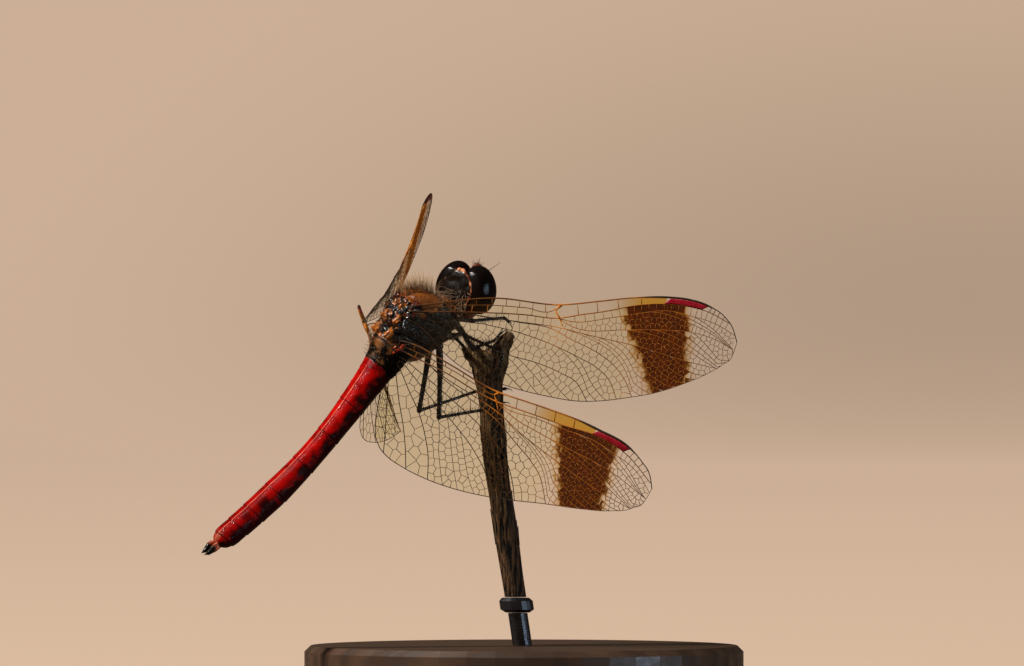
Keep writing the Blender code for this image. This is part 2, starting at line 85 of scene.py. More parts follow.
# Wing outlines and veins on the flat wing, as (u, v)
FORE_PLAN = {
    "span": 26.95,
    "root": (0.20, 1.70, 2.40),
    "leading": [
        (-0.6, -0.2), (1.0, -0.6), (6.5, -1.7), (12.1, -1.75), (15.4, -2.4), (18.0, -2.95), (20.9, -3.3),
        (22.7, -3.3), (24.4, -2.95), (25.8, -2.2), (26.55, -1.3), (26.95, -0.3),
    ],
    "trailing": [
        (-0.6, 0.7), (1.2, 1.6), (3.0, 3.2), (5.0, 4.4), (8.3, 5.25), (12.0, 5.75), (14.4, 5.85),
        (16.4, 5.6), (18.5, 5.1), (20.6, 4.5), (22.7, 3.6), (24.8, 2.45), (25.95, 1.6),
        (26.75, 0.55), (26.95, -0.3),
    ],
    "veins": {
        "subcosta": [(-0.5, 0.0), (3.0, -0.72), (6.2, -1.12), (9.1, -1.22), (11.6, -1.30), (12.1, -1.72)],
        "radius": [
            (-0.5, 0.15), (3.0, -0.2), (6.1, -0.45), (9.2, -0.62), (12.0, -0.64), (13.9, -1.13),
            (16.2, -1.71), (18.1, -2.3), (21.0, -2.75), (22.9, -2.72), (24.4, -2.48), (26.2, -1.75),
        ],
        "sector_one": [
            (12.1, -0.62), (13.2, -0.5), (16.4, -1.16), (17.7, -1.5), (21.4, -2.2), (22.9, -2.02),
            (25.4, -1.45), (26.75, -0.8),
        ],
        "sector_two": [
            (12.1, -0.6), (13.2, -0.12), (17.8, -0.32), (20.5, -0.6), (23.1, -0.69), (25.2, -0.3),
            (26.6, 0.3),
        ],
        "between": [
            (3.6, -0.25), (5.5, -0.12), (8.8, 0.0), (12.3, 0.11), (14.0, 0.34), (15.8, 0.56), (18.5, 0.86),
            (23.3, 1.72), (25.5, 2.0),
        ],
        "sector_three": [
            (3.6, -0.25), (8.7, 0.02), (11.8, 0.32), (13.1, 0.86), (15.8, 1.88), (17.0, 2.6), (18.2, 3.9),
            (18.8, 5.03),
        ],
        "media": [
            (3.6, -0.25), (4.2, 0.25), (6.0, 0.5), (9.0, 0.89), (11.7, 1.51), (14.3, 2.4), (15.7, 3.0),
            (17.1, 4.3), (17.6, 5.35),
        ],
        "hind_media": [
            (-0.5, 0.4), (2.0, 0.75), (4.0, 1.05), (4.9, 1.6), (6.3, 2.25), (8.5, 2.8), (10.7, 3.15),
            (12.8, 3.75), (14.4, 4.6), (15.2, 5.78),
        ],
        "cubitus": [(-0.5, 0.4), (2.0, 0.75), (4.0, 1.05), (4.6, 2.1), (6.0, 3.2), (8.2, 4.2), (9.9, 5.5)],
    },
    "fields": [
        ("costa", "subcosta", -0.3, 12.1, 9), ("subcosta", "radius", -0.3, 12.1, 9),
        ("costa", "radius", 12.1, 20.85, 5), ("costa", "radius", 24.25, 26.2, 5),
        ("radius", "sector_one", 12.3, 26.4, 24), ("sector_one", "sector_two", 12.5, 26.7, 92),
        ("sector_two", "between", 12.2, 26.7, 104), ("radius", "between", 3.7, 12.1, 9),
        ("between", "sector_three", 9.0, 25.4, 132), ("sector_three", "media", 4.0, 18.7, 42),
        ("media", "hind_media", 3.7, 17.5, 84), ("hind_media", "cubitus", 4.2, 15.1, 50),
        ("radius", "hind_media", -0.3, 3.6, 3), ("cubitus", "trailing", -0.3, 9.8, 30),
    ],
    "rays": {
        ("sector_one", "sector_two"): [(19.2, 26.2), (21.6, 26.5), (23.2, 26.7)],
        ("sector_two", "between"): [(17.4, 25.4), (19.9, 25.8), (21.6, 26.2), (23.2, 26.5)],
        ("between", "sector_three"): [
            (12.4, 19.5), (13.9, 20.3), (15.4, 21.2), (16.9, 22.1), (18.4, 23.0), (20.0, 23.8), (21.7, 24.6),
        ],
        ("media", "hind_media"): [(12.2, 16.0), (13.6, 16.8)],
        ("hind_media", "cubitus"): [(7.4, 11.2), (8.9, 12.4), (10.5, 13.8)],
    },
    "stigma": (20.9, 24.1),
    "nodus": 12.1,
    "band": (18.25, 0.46, 22.80, 0.10),
    "amber": (17.4, 20.9),
}
HIND_PLAN = {
    "span": 25.3,
    "root": (-2.50, 1.70, 1.10),
    "leading": [
        (-0.6, -0.2), (0.9, -0.55), (5.0, -0.6), (9.6, -0.5), (12.5, -0.95), (15.0, -1.35), (17.4, -1.65),
        (19.3, -1.7), (22.5, -1.5), (23.8, -0.9), (24.9, 0.05), (25.3, 0.9),
    ],
    "trailing": [
        (-0.6, 2.2), (-0.1, 5.0), (0.5, 7.3), (1.3, 8.4), (2.3, 8.9), (3.8, 9.1), (6.0, 9.1), (8.5, 8.8),
        (11.0, 8.25), (13.8, 7.4), (16.6, 6.4), (20.0, 5.3), (22.4, 4.35), (24.2, 3.2),
        (25.0, 2.15), (25.3, 0.9),
    ],
    "veins": {
        "subcosta": [(-0.5, 0.1), (2.0, -0.1), (5.0, -0.2), (8.2, -0.1), (9.6, -0.15), (10.0, -0.5)],
        "radius": [
            (-0.5, 0.4), (2.0, 0.3), (5.1, 0.2), (7.9, 0.32), (9.9, 0.28), (12.5, -0.1), (15.1, -0.47),
            (16.1, -0.6), (19.1, -1.12), (22.5, -0.82), (25.05, 0.5),
        ],
        "sector_one": [
            (10.0, 0.3), (11.2, 0.45), (13.6, 0.02), (16.1, -0.25), (19.3, -0.62), (21.3, -0.4), (24.0, 0.4),
            (25.15, 1.35),
        ],
        "sector_two": [(10.0, 0.32), (12.0, 0.86), (14.2, 0.97), (16.4, 1.03), (21.6, 1.2), (25.0, 2.0)],
        "between": [
            (2.9, 0.3), (5.0, 0.62), (8.0, 0.8), (10.7, 1.1), (12.8, 1.7), (15.0, 2.15), (18.0, 2.7),
            (21.5, 3.25), (23.9, 3.4),
        ],
        "sector_three": [
            (2.9, 0.3), (4.5, 0.75), (7.6, 1.21), (10.7, 1.8), (12.8, 2.73), (14.5, 3.5), (15.9, 4.6),
            (16.9, 6.3),
        ],
        "media": [
            (-0.5, 0.8), (1.2, 1.0), (2.9, 1.3), (5.8, 1.89), (9.5, 2.87), (11.3, 3.55), (12.7, 4.6),
            (13.8, 6.2), (14.3, 7.25),
        ],
        "hind_media": [
            (-0.5, 0.8), (1.0, 1.4), (4.1, 2.71), (7.2, 3.85), (9.4, 4.95), (11.2, 6.4), (12.3, 7.9),
        ],
        "cubitus": [(-0.5, 1.1), (0.8, 1.9), (2.2, 3.08), (3.9, 4.5), (5.1, 6.0), (6.0, 7.6), (6.5, 9.05)],
        "anal": [(-0.55, 1.2), (0.4, 2.3), (1.6, 4.24), (2.9, 6.2), (3.7, 7.7), (4.3, 9.1)],
        "hind_anal": [(-0.58, 1.5), (0.0, 2.9), (0.8, 5.2), (1.5, 7.2), (2.0, 8.8)],
    },
    "fields": [
        ("costa", "subcosta", -0.3, 10.0, 6), ("subcosta", "radius", -0.3, 10.0, 6),
        ("costa", "radius", 10.0, 19.2, 5), ("costa", "radius", 22.35, 24.9, 5),
        ("radius", "sector_one", 10.3, 25.0, 22), ("sector_one", "sector_two", 10.5, 25.1, 78),
        ("sector_two", "between", 10.2, 25.0, 112), ("radius", "between", 3.0, 10.0, 6),
        ("between", "sector_three", 3.6, 23.8, 132), ("sector_three", "media", 3.0, 16.8, 44),
        ("radius", "media", -0.3, 2.9, 2), ("media", "hind_media", 0.2, 14.2, 60),
        ("hind_media", "cubitus", -0.3, 12.2, 92), ("cubitus", "anal", -0.3, 6.4, 18),
        ("anal", "hind_anal", -0.3, 4.25, 18), ("hind_anal", "trailing", -0.5, 1.95, 8),
    ],
    "rays": {
        ("sector_one", "sector_two"): [(17.6, 24.6), (20.2, 24.9), (21.8, 25.05)],
        ("sector_two", "between"): [(15.6, 24.0), (18.0, 24.3), (19.9, 24.6), (21.6, 24.9)],
        ("between", "sector_three"): [
            (10.6, 17.9), (12.1, 18.8), (13.6, 19.8), (15.1, 20.7), (16.7, 21.6), (18.4, 22.4), (20.2, 23.1),
        ],
        ("media", "hind_media"): [(10.2, 13.2)],
        ("hind_media", "cubitus"): [(4.6, 7.9), (6.2, 9.3), (7.8, 10.8)],
    },
    "stigma": (19.2, 22.3),
    "nodus": 10.0,
    "band": (16.10, 0.36, 21.25, 0.04),
    "amber": (14.2, 19.2),
}
# Each wing's plan, side, forward sweep, droop, chord pitch at root and tip, arch, and the share of the
# span over which the pitch changes
WINGS = {
    "forewing_right": (FORE_PLAN, -1, 34.8, 25.2, 8.0, 28.0, 0.2, 1.0),
    "forewing_left": (FORE_PLAN, 1, 28.6, 27.6, -4.7, 27.9, 0.46, 0.70),
    "hindwing_right": (HIND_PLAN, -1, 9.7, 26.5, 32.0, 44.0, 0.5, 1.0),
    "hindwing_left": (HIND_PLAN, 1, 12.2, 32.5, 29.7, 61.1, 0.59, 0.37),
}
VEIN_RADII = {"costa": 0.062, "subcosta": 0.036, "radius": 0.050, "trailing": 0.036}
VEIN_LIFTS = {
    "costa": 0.10, "subcosta": -0.10, "radius": 0.10, "sector_one": -0.06, "sector_two": -0.05,
    "between": 0.06, "sector_three": -0.06, "media": 0.06, "hind_media": -0.06, "cubitus": 0.05,
    "anal": -0.04, "hind_anal": 0.04, "trailing": 0.0,
}

SWOLLEN_ROOTS = {"costa": 0.6, "subcosta": 0.3, "radius": 0.8}
SMALL_VEIN_RADIUS = 0.036
SMALL_VEIN_LIFT = 0.03
BAND_JITTER = 0.32  # how far single cells step out of the band's edge
LEFT_STAIN = {"forewing_left": 0.3, "hindwing_left": 0.65}  # wings seen along the film look less tinted

# Legs: hip in the body axes, then knee, ankle and toe in the room's axes
LEGS = {
    "hindleg_right": (
        (0.22, -0.93, -2.15), (-6.93, -4.60, 21.72), (-3.62, -1.50, 22.25), (-1.50, -1.12, 22.95)),
    "hindleg_left": (
        (0.50, 0.72, -2.20), (-8.57, -3.00, 22.25), (-3.95, 1.30, 23.80), (-1.25, 1.52, 24.05)),
    "midleg_right": (
        (1.10, -1.05, -2.25), (-5.10, -1.40, 28.55), (-1.72, -1.72, 27.00), (-1.95, -1.62, 25.80)),
    "midleg_left": (
        (1.32, 1.00, -2.25), (-5.60, 1.20, 28.20), (-3.30, 2.05, 25.70), (-2.90, 1.62, 24.95)),
    "foreleg_right": (
        (2.30, -0.80, -2.15), (-4.20, -1.90, 27.30), (-2.45, 0.35, 27.95), (-1.78, 0.20, 28.75)),
    "foreleg_left": (
        (2.30, 0.80, -2.15), (-4.20, -0.90, 29.60), (-1.56, 0.20, 29.84), (-1.15, 0.25, 29.42)),
}

# Perch: height, middle and radius of the stem at each station
STEM_STATIONS = [
    (6.95, -0.70, 0.90), (10.0, -1.15, 0.93), (14.9, -1.86, 0.98), (20.6, -2.57, 1.00),
    (23.3, -2.74, 0.97), (24.5, -2.87, 1.12), (25.5, -2.84, 1.38), (26.3, -2.80, 1.60),
    (27.05, -2.86, 1.52),
]
STEM_FOOT = 6.97
STEM_HOLLOW = 26.6
CROWN_SPLINTERS, BARK_STRIPS = 46, 70
PRONG_PATH = [(-2.35, 0.0, 26.2), (-1.80, 0.05, 27.4), (-1.32, 0.10, 28.15), (-0.95, 0.15, 28.62)]
PRONG_RADII = (0.78, 0.62, 0.50, 0.30)
FLAP_PATH = [(-3.9, -0.3, 26.2), (-4.45, -0.35, 26.9), (-5.05, -0.40, 27.45)]
FLAP_RADII = (0.58, 0.44, 0.16)

# Camera: how far it stands off, the width that it takes in and the middle of that
CAMERA_DISTANCE = 900.0
SENSOR_WIDTH = 36.0
VIEW_WIDTH = 83.93
VIEW_CENTRE = (-0.98, 0.0, 28.6)

# Stage, in metres: the painted soft shade on the wall, and each light's place from the view's middle, colour
# and size
SHADE_CENTRE = (0.11, 1.72, 0.04)
SHADE_REACH = 0.26
LARGEST_GLINT = 0.3
KEY_LIGHT = ((-0.62, -0.22, 0.60), (1.0, 0.95, 0.88), 0.07)
FILL_LIGHT = ((0.45, -0.75, 0.15), (0.85, 0.92, 1.0), 0.6)
SKY_LIGHT = ((0.66, -0.30, 0.06), (0.62, 0.80, 1.0), 0.14)


# ------------------------------------------------------------------ axes, curves and meshes

def axes_of(degrees):
    return np.array(Euler([math.radians(angle) for angle in degrees]).to_matrix())


BODY_AXES = axes_of(BODY_TURN)
HEAD_AXES = axes_of(HEAD_TURN)


def body_to_room(points):
    return np.asarray(points, dtype=float) @ BODY_AXES.T + BODY_CENTRE


def head_to_room(points):
    return np.asarray(points, dtype=float) @ HEAD_AXES.T + HEAD_CENTRE


def columns(*parts):
    """Stacks coordinates, or numbers for them, into points."""
    return np.stack(np.broadcast_arrays(*parts), axis=-1)


def round_angles(sides, start=0.0):
    return TURN * (np.arange(sides) + start) / sides


def wrapped(angle):
    """The same angle between half a turn back and half a turn on."""
    return (angle + math.pi) % TURN - math.pi


def ball_points(theta, phi):
    """Points of a ball of radius 1: theta goes round it and phi down from its top."""
    return columns(np.sin(phi) * np.cos(theta), np.sin(phi) * np.sin(theta), np.cos(phi))


def unit(vectors):
    vectors = np.asarray(vectors, dtype=float)
    return vectors / np.maximum(np.linalg.norm(vectors, axis=-1, keepdims=True), 1e-9)


def bell(distance, width):
    """A smooth bump that is 1 at no distance."""
    return np.exp(-(np.asarray(distance) / width) ** 2)


def ease(value, start, end):
    """0 before start, 1 after end and smooth between."""
    share = np.clip((np.asarray(value, dtype=float) - start) / (end - start), 0, 1)
    return share * share * (3 - 2 * share)


def smooth_line(points, column=1):
    """A function through points of rising first coordinate."""
    table = np.array(sorted(points), dtype=float)
    x, y = table[:, 0], table[:, column]
    slopes = np.gradient(y, x)

    def value(at):
        at = np.clip(at, x[0], x[-1])
        k = np.clip(np.searchsorted(x, at) - 1, 0, len(x) - 2)
        width, rise = x[k + 1] - x[k], y[k + 1] - y[k]
        t, first, last = (at - x[k]) / width, slopes[k] * width, slopes[k + 1] * width
        return y[k] + t * first + t**2 * (3 * rise - 2 * first - last) + t**3 * (first + last - 2 * rise)

    return value


def smooth_path(points, count):
    """Points spread evenly along a rounded path through the given ones."""
    points = np.asarray(points, dtype=float)
    steps = np.linspace(0, len(points) - 1, count)
    keys = np.arange(len(points))
    lines = [smooth_line(list(zip(keys, points[:, axis]))) for axis in range(3)]
    return np.stack([line(steps) for line in lines], axis=1)


def wobble(points, scale, seed=0.0):
    """Smooth noise from -1 to 1 at each point, with features about 1/scale across."""
    return np.array([noise.noise(Vector((p[0] * scale + seed, p[1] * scale, p[2] * scale))) for p in points])


class Shape:
    """Points, faces and numbers for each point, gathered piece by piece into one mesh."""

    def __init__(self, *keys):
        self.points, self.faces, self.count = [], [], 0
        self.values = {key: [] for key in keys}

    def add(self, points, faces, **values):
        points = np.asarray(points, dtype=float)
        self.points.append(points)
        self.faces.extend(tuple(index + self.count for index in face) for face in faces)
        self.count += len(points)
        for key, numbers in self.values.items():
            numbers.append(np.broadcast_to(values.get(key, 0.0), len(points)))

    def build(self, name, finish, slot, replaces=()):
        """Makes the mesh object, puts it on the frame and hides the parts that it replaces; slot is not used.
        """
        mesh = bpy.data.meshes.new(name)
        mesh.from_pydata((np.concatenate(self.points) * MM).tolist(), [], self.faces)
        for key, numbers in self.values.items():
            layer = mesh.attributes.new(key, "FLOAT", "POINT")
            layer.data.foreach_set("value", np.concatenate(numbers).astype(np.float32))
        mesh.materials.append(finish)
        mesh.shade_smooth()
        mesh.validate()
        thing = bpy.data.objects.new(name, mesh)
        bpy.context.scene.collection.objects.link(thing)
        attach(thing, "root")
        if replaces:
            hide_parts(*replaces)
        return thing


def ring_faces(rings, sides, caps=True, flip=False):
    """Faces of a tube of rings, closed round and, with caps, at both ends."""
    faces = []
    for row in range(rings - 1):
        for k in range(sides):
            a, b = row * sides + k, row * sides + (k + 1) % sides
            faces.append((a, b, b + sides, a + sides))
    if caps:
        faces.append(tuple(reversed(range(sides))))
        faces.append(tuple(range((rings - 1) * sides, rings * sides)))
    return [face[::-1] for face in faces] if flip else faces


def add_tube(shape, path, radii, sides=6, up=None, flatten=1.0, **values):
    """A round bar along a path; up fixes which way its first corner faces."""
    path = np.asarray(path, dtype=float)
    radii = np.reshape(radii if np.ndim(radii) else [radii] * len(path), (len(path), -1))
    along = unit(np.gradient(path, axis=0))
    if up is None:
        up = (0, 0, 1) if abs(along[0][2]) < 0.9 else (1, 0, 0)
    across = unit(np.cross(along, np.broadcast_to(up, path.shape)))
    angles = round_angles(sides, 0.5)[None, :, None]
    rim = np.cos(angles) * across[:, None] + flatten * np.sin(angles) * np.cross(across, along)[:, None]
    points = path[:, None] + rim * radii[..., None]
    spread = {key: np.repeat(np.broadcast_to(number, len(path)), sides) for key, number in values.items()}
    shape.add(points.reshape(-1, 3), ring_faces(len(path), sides), **spread)


def add_spike(shape, root, point, radius, bend=(0, 0, 0), sides=3, **values):
    """A fine bristle that tapers from its root to a point."""
    root, point = np.asarray(root, dtype=float), np.asarray(point, dtype=float)
    middle = (root + point) / 2 + np.asarray(bend)
    add_tube(shape, [root, middle, point], (radius, 0.75 * radius, 0.12 * radius), sides, **values)


def add_blob(shape, centre, radii, turn=(0, 0, 0), rough=0.0, segments=20, rings=12, place=None, **values):
    """A rounded lump with an uneven surface, in the axes that place turns into the room's."""
    around, down = np.linspace(0, TURN, segments, endpoint=False), np.linspace(0.12, math.pi - 0.12, rings)
    ball = ball_points(*np.meshgrid(around, down)).reshape(-1, 3)
    ball = ball * (1 + rough * wobble(ball, 1.7, centre[0] * 3.1 + centre[2]))[:, None]
    points = (ball * radii) @ axes_of(turn).T + centre
    shape.add(place(points) if place else points, ring_faces(rings, segments, flip=True), **values)


# ------------------------------------------------------------------ materials

class Graph:
    """A node tree with short calls for the nodes that a finish is made of."""

    def __init__(self, tree):
        self.tree = tree

    def node(self, kind, inputs=None, **settings):
        """Adds one shader node, with its settings and its linked or fixed inputs."""
        item = self.tree.nodes.new(kind)
        for key, value in settings.items():
            setattr(item, key, value)
        for key, value in (inputs or {}).items():
            if isinstance(value, bpy.types.NodeSocket):
                self.tree.links.new(value, item.inputs[key])
            else:
                item.inputs[key].default_value = value
        return item

    def mix(self, factor, first, second):
        """Blends two colours."""
        first, second = ((*c, 1.0) if isinstance(c, tuple) and len(c) == 3 else c for c in (first, second))
        return self.node("ShaderNodeMix", {0: factor, 6: first, 7: second}, data_type="RGBA").outputs[2]

    def blend(self, factor, first, second):
        """Blends two numbers."""
        return self.node("ShaderNodeMix", {0: factor, 2: first, 3: second}).outputs[0]

    def maths(self, operation, first, second=0.0, clamp=False):
        inputs = {0: first, 1: second}
        return self.node("ShaderNodeMath", inputs, operation=operation, use_clamp=clamp).outputs[0]

    def plus(self, first, second):
        return self.maths("ADD", first, second)

    def minus(self, first, second):
        return self.maths("SUBTRACT", first, second)

    def times(self, first, second):
        return self.maths("MULTIPLY", first, second)

    def sway(self, tone, amount):
        """A clouded tone as a number that swings about 0."""
        return self.times(self.minus(tone, 0.5), amount)

    def step(self, value, low, high, bottom=0.0, top=1.0):
        """Maps a range of a number smoothly on to another."""
        inputs = {0: value, 1: low, 2: high, 3: bottom, 4: top}
        return self.node("ShaderNodeMapRange", inputs, interpolation_type="SMOOTHSTEP").outputs[0]

    def point(self, name):
        """A number that the mesh carries at each point."""
        return self.node("ShaderNodeAttribute", attribute_name=name).outputs["Fac"]

    def place(self, stretch=(1.0, 1.0, 1.0)):
        """Object coordinates in millimetres, so that every pattern has its real scale."""
        where = self.node("ShaderNodeTexCoord").outputs["Object"]
        scale = tuple(share / MM for share in stretch)
        return self.node("ShaderNodeMapping", {"Vector": where, "Scale": scale}).outputs[0]

    def grain(self, where, scale, detail, **more):
        inputs = {"Vector": where, "Scale": scale, "Detail": detail, **more}
        return self.node("ShaderNodeTexNoise", inputs).outputs[0]


class Finish(Graph):
    """A material with one Principled shader."""

    def __init__(self, name, roughness=0.4, metallic=0.0, **fixed):
        self.material = bpy.data.materials.new(name)
        self.material.use_nodes = True
        super().__init__(self.material.node_tree)
        self.shader = self.tree.nodes["Principled BSDF"]
        for key, value in dict(fixed, Roughness=roughness, Metallic=metallic).items():
            self.shader.inputs[key.replace("_", " ")].default_value = value

    def feed(self, value, name="Base Color"):
        self.tree.links.new(value, self.shader.inputs[name])

    def cuticle(self, grain, clouds, contrast):
        """Places the grain group with its own values; gives its tone and height."""
        item = self.node("ShaderNodeGroup", node_tree=cuticle_group())
        for socket, value in zip(item.inputs, (grain, clouds, contrast)):
            socket.default_value = value
        return item.outputs[0], item.outputs[1]

    def bump(self, height, depth_mm, glints=False):
        """Relief in a surface; with glints the clear coat follows it too and sparkles."""
        item = self.node("ShaderNodeBump", {"Distance": depth_mm * MM, "Height": height})
        for name in ("Normal", "Coat Normal") if glints else ("Normal",):
            self.feed(item.outputs[0], name)


def cuticle_group():
    """The grain of insect skin: fine pits with slow, cloudy changes of tone."""
    name = "cuticle_grain"
    if name in bpy.data.node_groups:
        return bpy.data.node_groups[name]
    tree = bpy.data.node_groups.new(name, "ShaderNodeTree")
    for label, value in (("Grain per mm", 14.0), ("Clouds per mm", 1.2), ("Contrast", 1.0)):
        socket = tree.interface.new_socket(label, in_out="INPUT", socket_type="NodeSocketFloat")
        socket.default_value = value
    for label in ("Tone", "Height"):
        tree.interface.new_socket(label, in_out="OUTPUT", socket_type="NodeSocketFloat")
    graph = Graph(tree)
    scale, clouds, contrast = graph.node("NodeGroupInput").outputs[:3]
    outputs, where = graph.node("NodeGroupOutput"), graph.place()
    tone = graph.sway(graph.grain(where, clouds, 3.0), contrast)
    tree.links.new(graph.maths("ADD", tone, 0.5, clamp=True), outputs.inputs[0])
    pits = graph.node("ShaderNodeTexVoronoi", {"Vector": where, "Scale": scale}).outputs[0]
    height = graph.plus(graph.times(pits, 0.5), graph.grain(where, scale, 4.0))
    tree.links.new(height, outputs.inputs[1])
    return tree


def rgb(value):
    return tuple(value)[:3]


def abdomen_finish(colours):
    """Glossy red skin: fine cross ridges, a painted keel highlight, dark joints, and lower sides partly
    black, partly painted shade.
    """
    skin = Finish("abdomen_red_cuticle", 0.30, Coat_Weight=0.12, Coat_Roughness=0.10, Specular_IOR_Level=0.03)
    along, around = skin.point("along"), skin.point("around")
    joint = skin.point("joint")
    tone, height = skin.cuticle(16.0, 1.1, 1.8)
    red = skin.mix(tone, rgb(colours.red_deep), rgb(colours.red))
    # Towards the tail the red deepens and the dark sides climb higher: painted shade on the rear segments.
    rear = skin.step(along, 12.0, 23.0)
    patches = skin.sway(tone, -0.60)
    sides = skin.plus(skin.plus(around, skin.times(rear, 0.06)), patches)
    # Dark lower sides: partly the real black below, partly painted shade on the flank turned from the light.
    dark = skin.step(sides, 0.19, 0.50)
    red = skin.mix(skin.times(rear, 0.45), red, rgb(colours.red_deep))
    end = skin.times(skin.step(along, 23.3, 24.2, 0.0, 0.7), skin.step(around, 0.05, 0.20, 1.0, 0.0))
    red = skin.mix(end, red, (0.34, 0.085, 0.045))
    # Painted highlight: a pale broken line along the keel stands for the glints on the ridge.
    broken = skin.step(height, 0.62, 0.74)
    line = skin.times(skin.step(around, 0.004, 0.017, 1.0, 0.0), skin.step(along, 4.9, 6.5, 0.0, 0.75))
    keel = skin.times(line, broken)
    colour = skin.mix(dark, red, rgb(colours.dark))
    colour = skin.mix(skin.times(joint, 0.75), colour, rgb(colours.dark))
    colour = skin.mix(keel, colour, rgb(colours.keel))
    waist = skin.mix(skin.step(tone, 0.35, 0.75), (0.004, 0.003, 0.002), (0.20, 0.075, 0.018))
    blotch = skin.step(skin.minus(around, skin.times(tone, 0.4)), -0.08, 0.12)
    waist = skin.mix(blotch, waist, (0.003, 0.002, 0.002))
    waist = skin.mix(joint, waist, (0.002, 0.002, 0.002))
    edge = skin.plus(along, skin.sway(tone, 0.5))
    skin.feed(skin.mix(skin.step(edge, 4.80, 4.98), waist, colour))
    skin.feed(skin.step(tone, 0.2, 0.8, 0.24, 0.42), "Roughness")
    ridges = skin.maths("SINE", skin.times(along, TURN * 5.5))
    ridges = skin.times(ridges, skin.step(along, 4.6, 5.4, 0.0, 0.30))
    skin.bump(skin.plus(ridges, height), 0.020, True)
    return skin.material


def trunk_finish(colours):
    """Thorax skin: brown-orange above, glossy blue-black on the sides, black seams."""
    skin = Finish("thorax_cuticle", 0.35, Coat_Weight=1.0, Coat_Roughness=0.13, Specular_IOR_Level=0.10)
    black, seam = skin.point("black"), skin.point("seam")
    tone, height = skin.cuticle(6.0, 1.4, 1.8)
    warm = skin.mix(tone, rgb(colours.brown), rgb(colours.orange))
    edge = skin.plus(black, skin.sway(tone, 0.7))
    dark = skin.mix(tone, (0.001, 0.001, 0.001), rgb(colours.black))
    colour = skin.mix(skin.step(edge, 0.35, 0.65), warm, dark)
    colour = skin.mix(seam, colour, (0.001, 0.001, 0.001))
    skin.feed(colour)
    skin.feed(skin.step(edge, 0.3, 0.7, 0.50, 0.20), "Roughness")
    skin.bump(height, 0.10, True)
    return skin.material


def plain_cuticle(name, low, high, roughness, depth=0.012, grain=16.0, clouds=1.6, **fixed):
    """A hard glossy part whose tone drifts between two colours."""
    skin = Finish(name, roughness, **fixed)
    tone, height = skin.cuticle(grain, clouds, 2.0)
    skin.feed(skin.mix(tone, low, high))
    skin.feed(skin.step(tone, 0.2, 0.8, roughness * 0.75, roughness * 1.3), "Roughness")
    skin.bump(height, depth, True)
    return skin.material


def clasper_finish():
    """Black, shading to red at the root."""
    skin = Finish("clasper_cuticle", 0.3, Coat_Weight=0.12, Coat_Roughness=0.12, Specular_IOR_Level=0.05)
    tone, height = skin.cuticle(14.0, 2.0, 1.6)
    root = skin.mix(tone, (0.45, 0.05, 0.02), (0.62, 0.22, 0.12))
    tip = skin.mix(tone, (0.003, 0.002, 0.002), (0.020, 0.012, 0.009))
    skin.feed(skin.mix(skin.point("tip"), root, tip))
    skin.bump(height, 0.010)
    return skin.material


def plate_finish():
    """Wet-looking plates between the wings, from black through rust to bright orange."""
    skin = Finish("back_plate", 0.35, Coat_Weight=1.0, Coat_Roughness=0.12, Specular_IOR_Level=0.06)
    tone, height = skin.cuticle(6.0, 2.8, 3.0)
    warm = skin.plus(skin.point("warm"), skin.sway(tone, 1.1))
    colour = skin.mix(skin.step(warm, 0.15, 0.55), (0.002, 0.001, 0.001), (0.070, 0.014, 0.002))
    colour = skin.mix(skin.step(warm, 0.55, 1.0), colour, (0.38, 0.100, 0.005))
    red = skin.mix(skin.step(tone, 0.35, 0.75), (0.06, 0.003, 0.002), (0.60, 0.050, 0.004))
    skin.feed(skin.mix(skin.point("red"), colour, red))
    skin.bump(height, 0.05, True)
    return skin.material


def eye_finish(colours):
    """Compound eye: a clear coat over hundreds of small facets, redder on the crown."""
    skin = Finish("compound_eye", 0.45, Coat_Weight=0.30, Coat_Roughness=0.05, Specular_IOR_Level=0.03)
    crown, rim = skin.point("crown"), skin.point("rim")
    tone, _ = skin.cuticle(10.0, 0.9, 1.4)
    colour = skin.mix(tone, rgb(colours.dark), rgb(colours.brown))
    colour = skin.mix(crown, colour, rgb(colours.crown))
    colour = skin.mix(rim, colour, rgb(colours.rim))
    skin.feed(colour)
    facets = skin.node("ShaderNodeTexVoronoi", {"Vector": skin.place(), "Scale": 22.0})
    skin.bump(skin.minus(1.0, facets.outputs[0]), 0.006, True)
    return skin.material


def head_finish():
    """Head capsule: dark with pale marks along the eyes and a red-brown face."""
    skin = Finish("head_cuticle", 0.38, Coat_Weight=0.25, Coat_Roughness=0.08, Specular_IOR_Level=0.08)
    pale, red = skin.point("pale"), skin.point("red")
    tone, height = skin.cuticle(12.0, 2.2, 1.6)
    colour = skin.mix(tone, (0.001, 0.0008, 0.0006), (0.010, 0.004, 0.002))
    colour = skin.mix(red, colour, skin.mix(tone, (0.050, 0.010, 0.004), (0.27, 0.050, 0.012)))
    colour = skin.mix(pale, colour, skin.mix(tone, (0.70, 0.13, 0.025), (0.85, 0.46, 0.26)))
    skin.feed(colour)
    skin.bump(height, 0.030, True)
    return skin.material


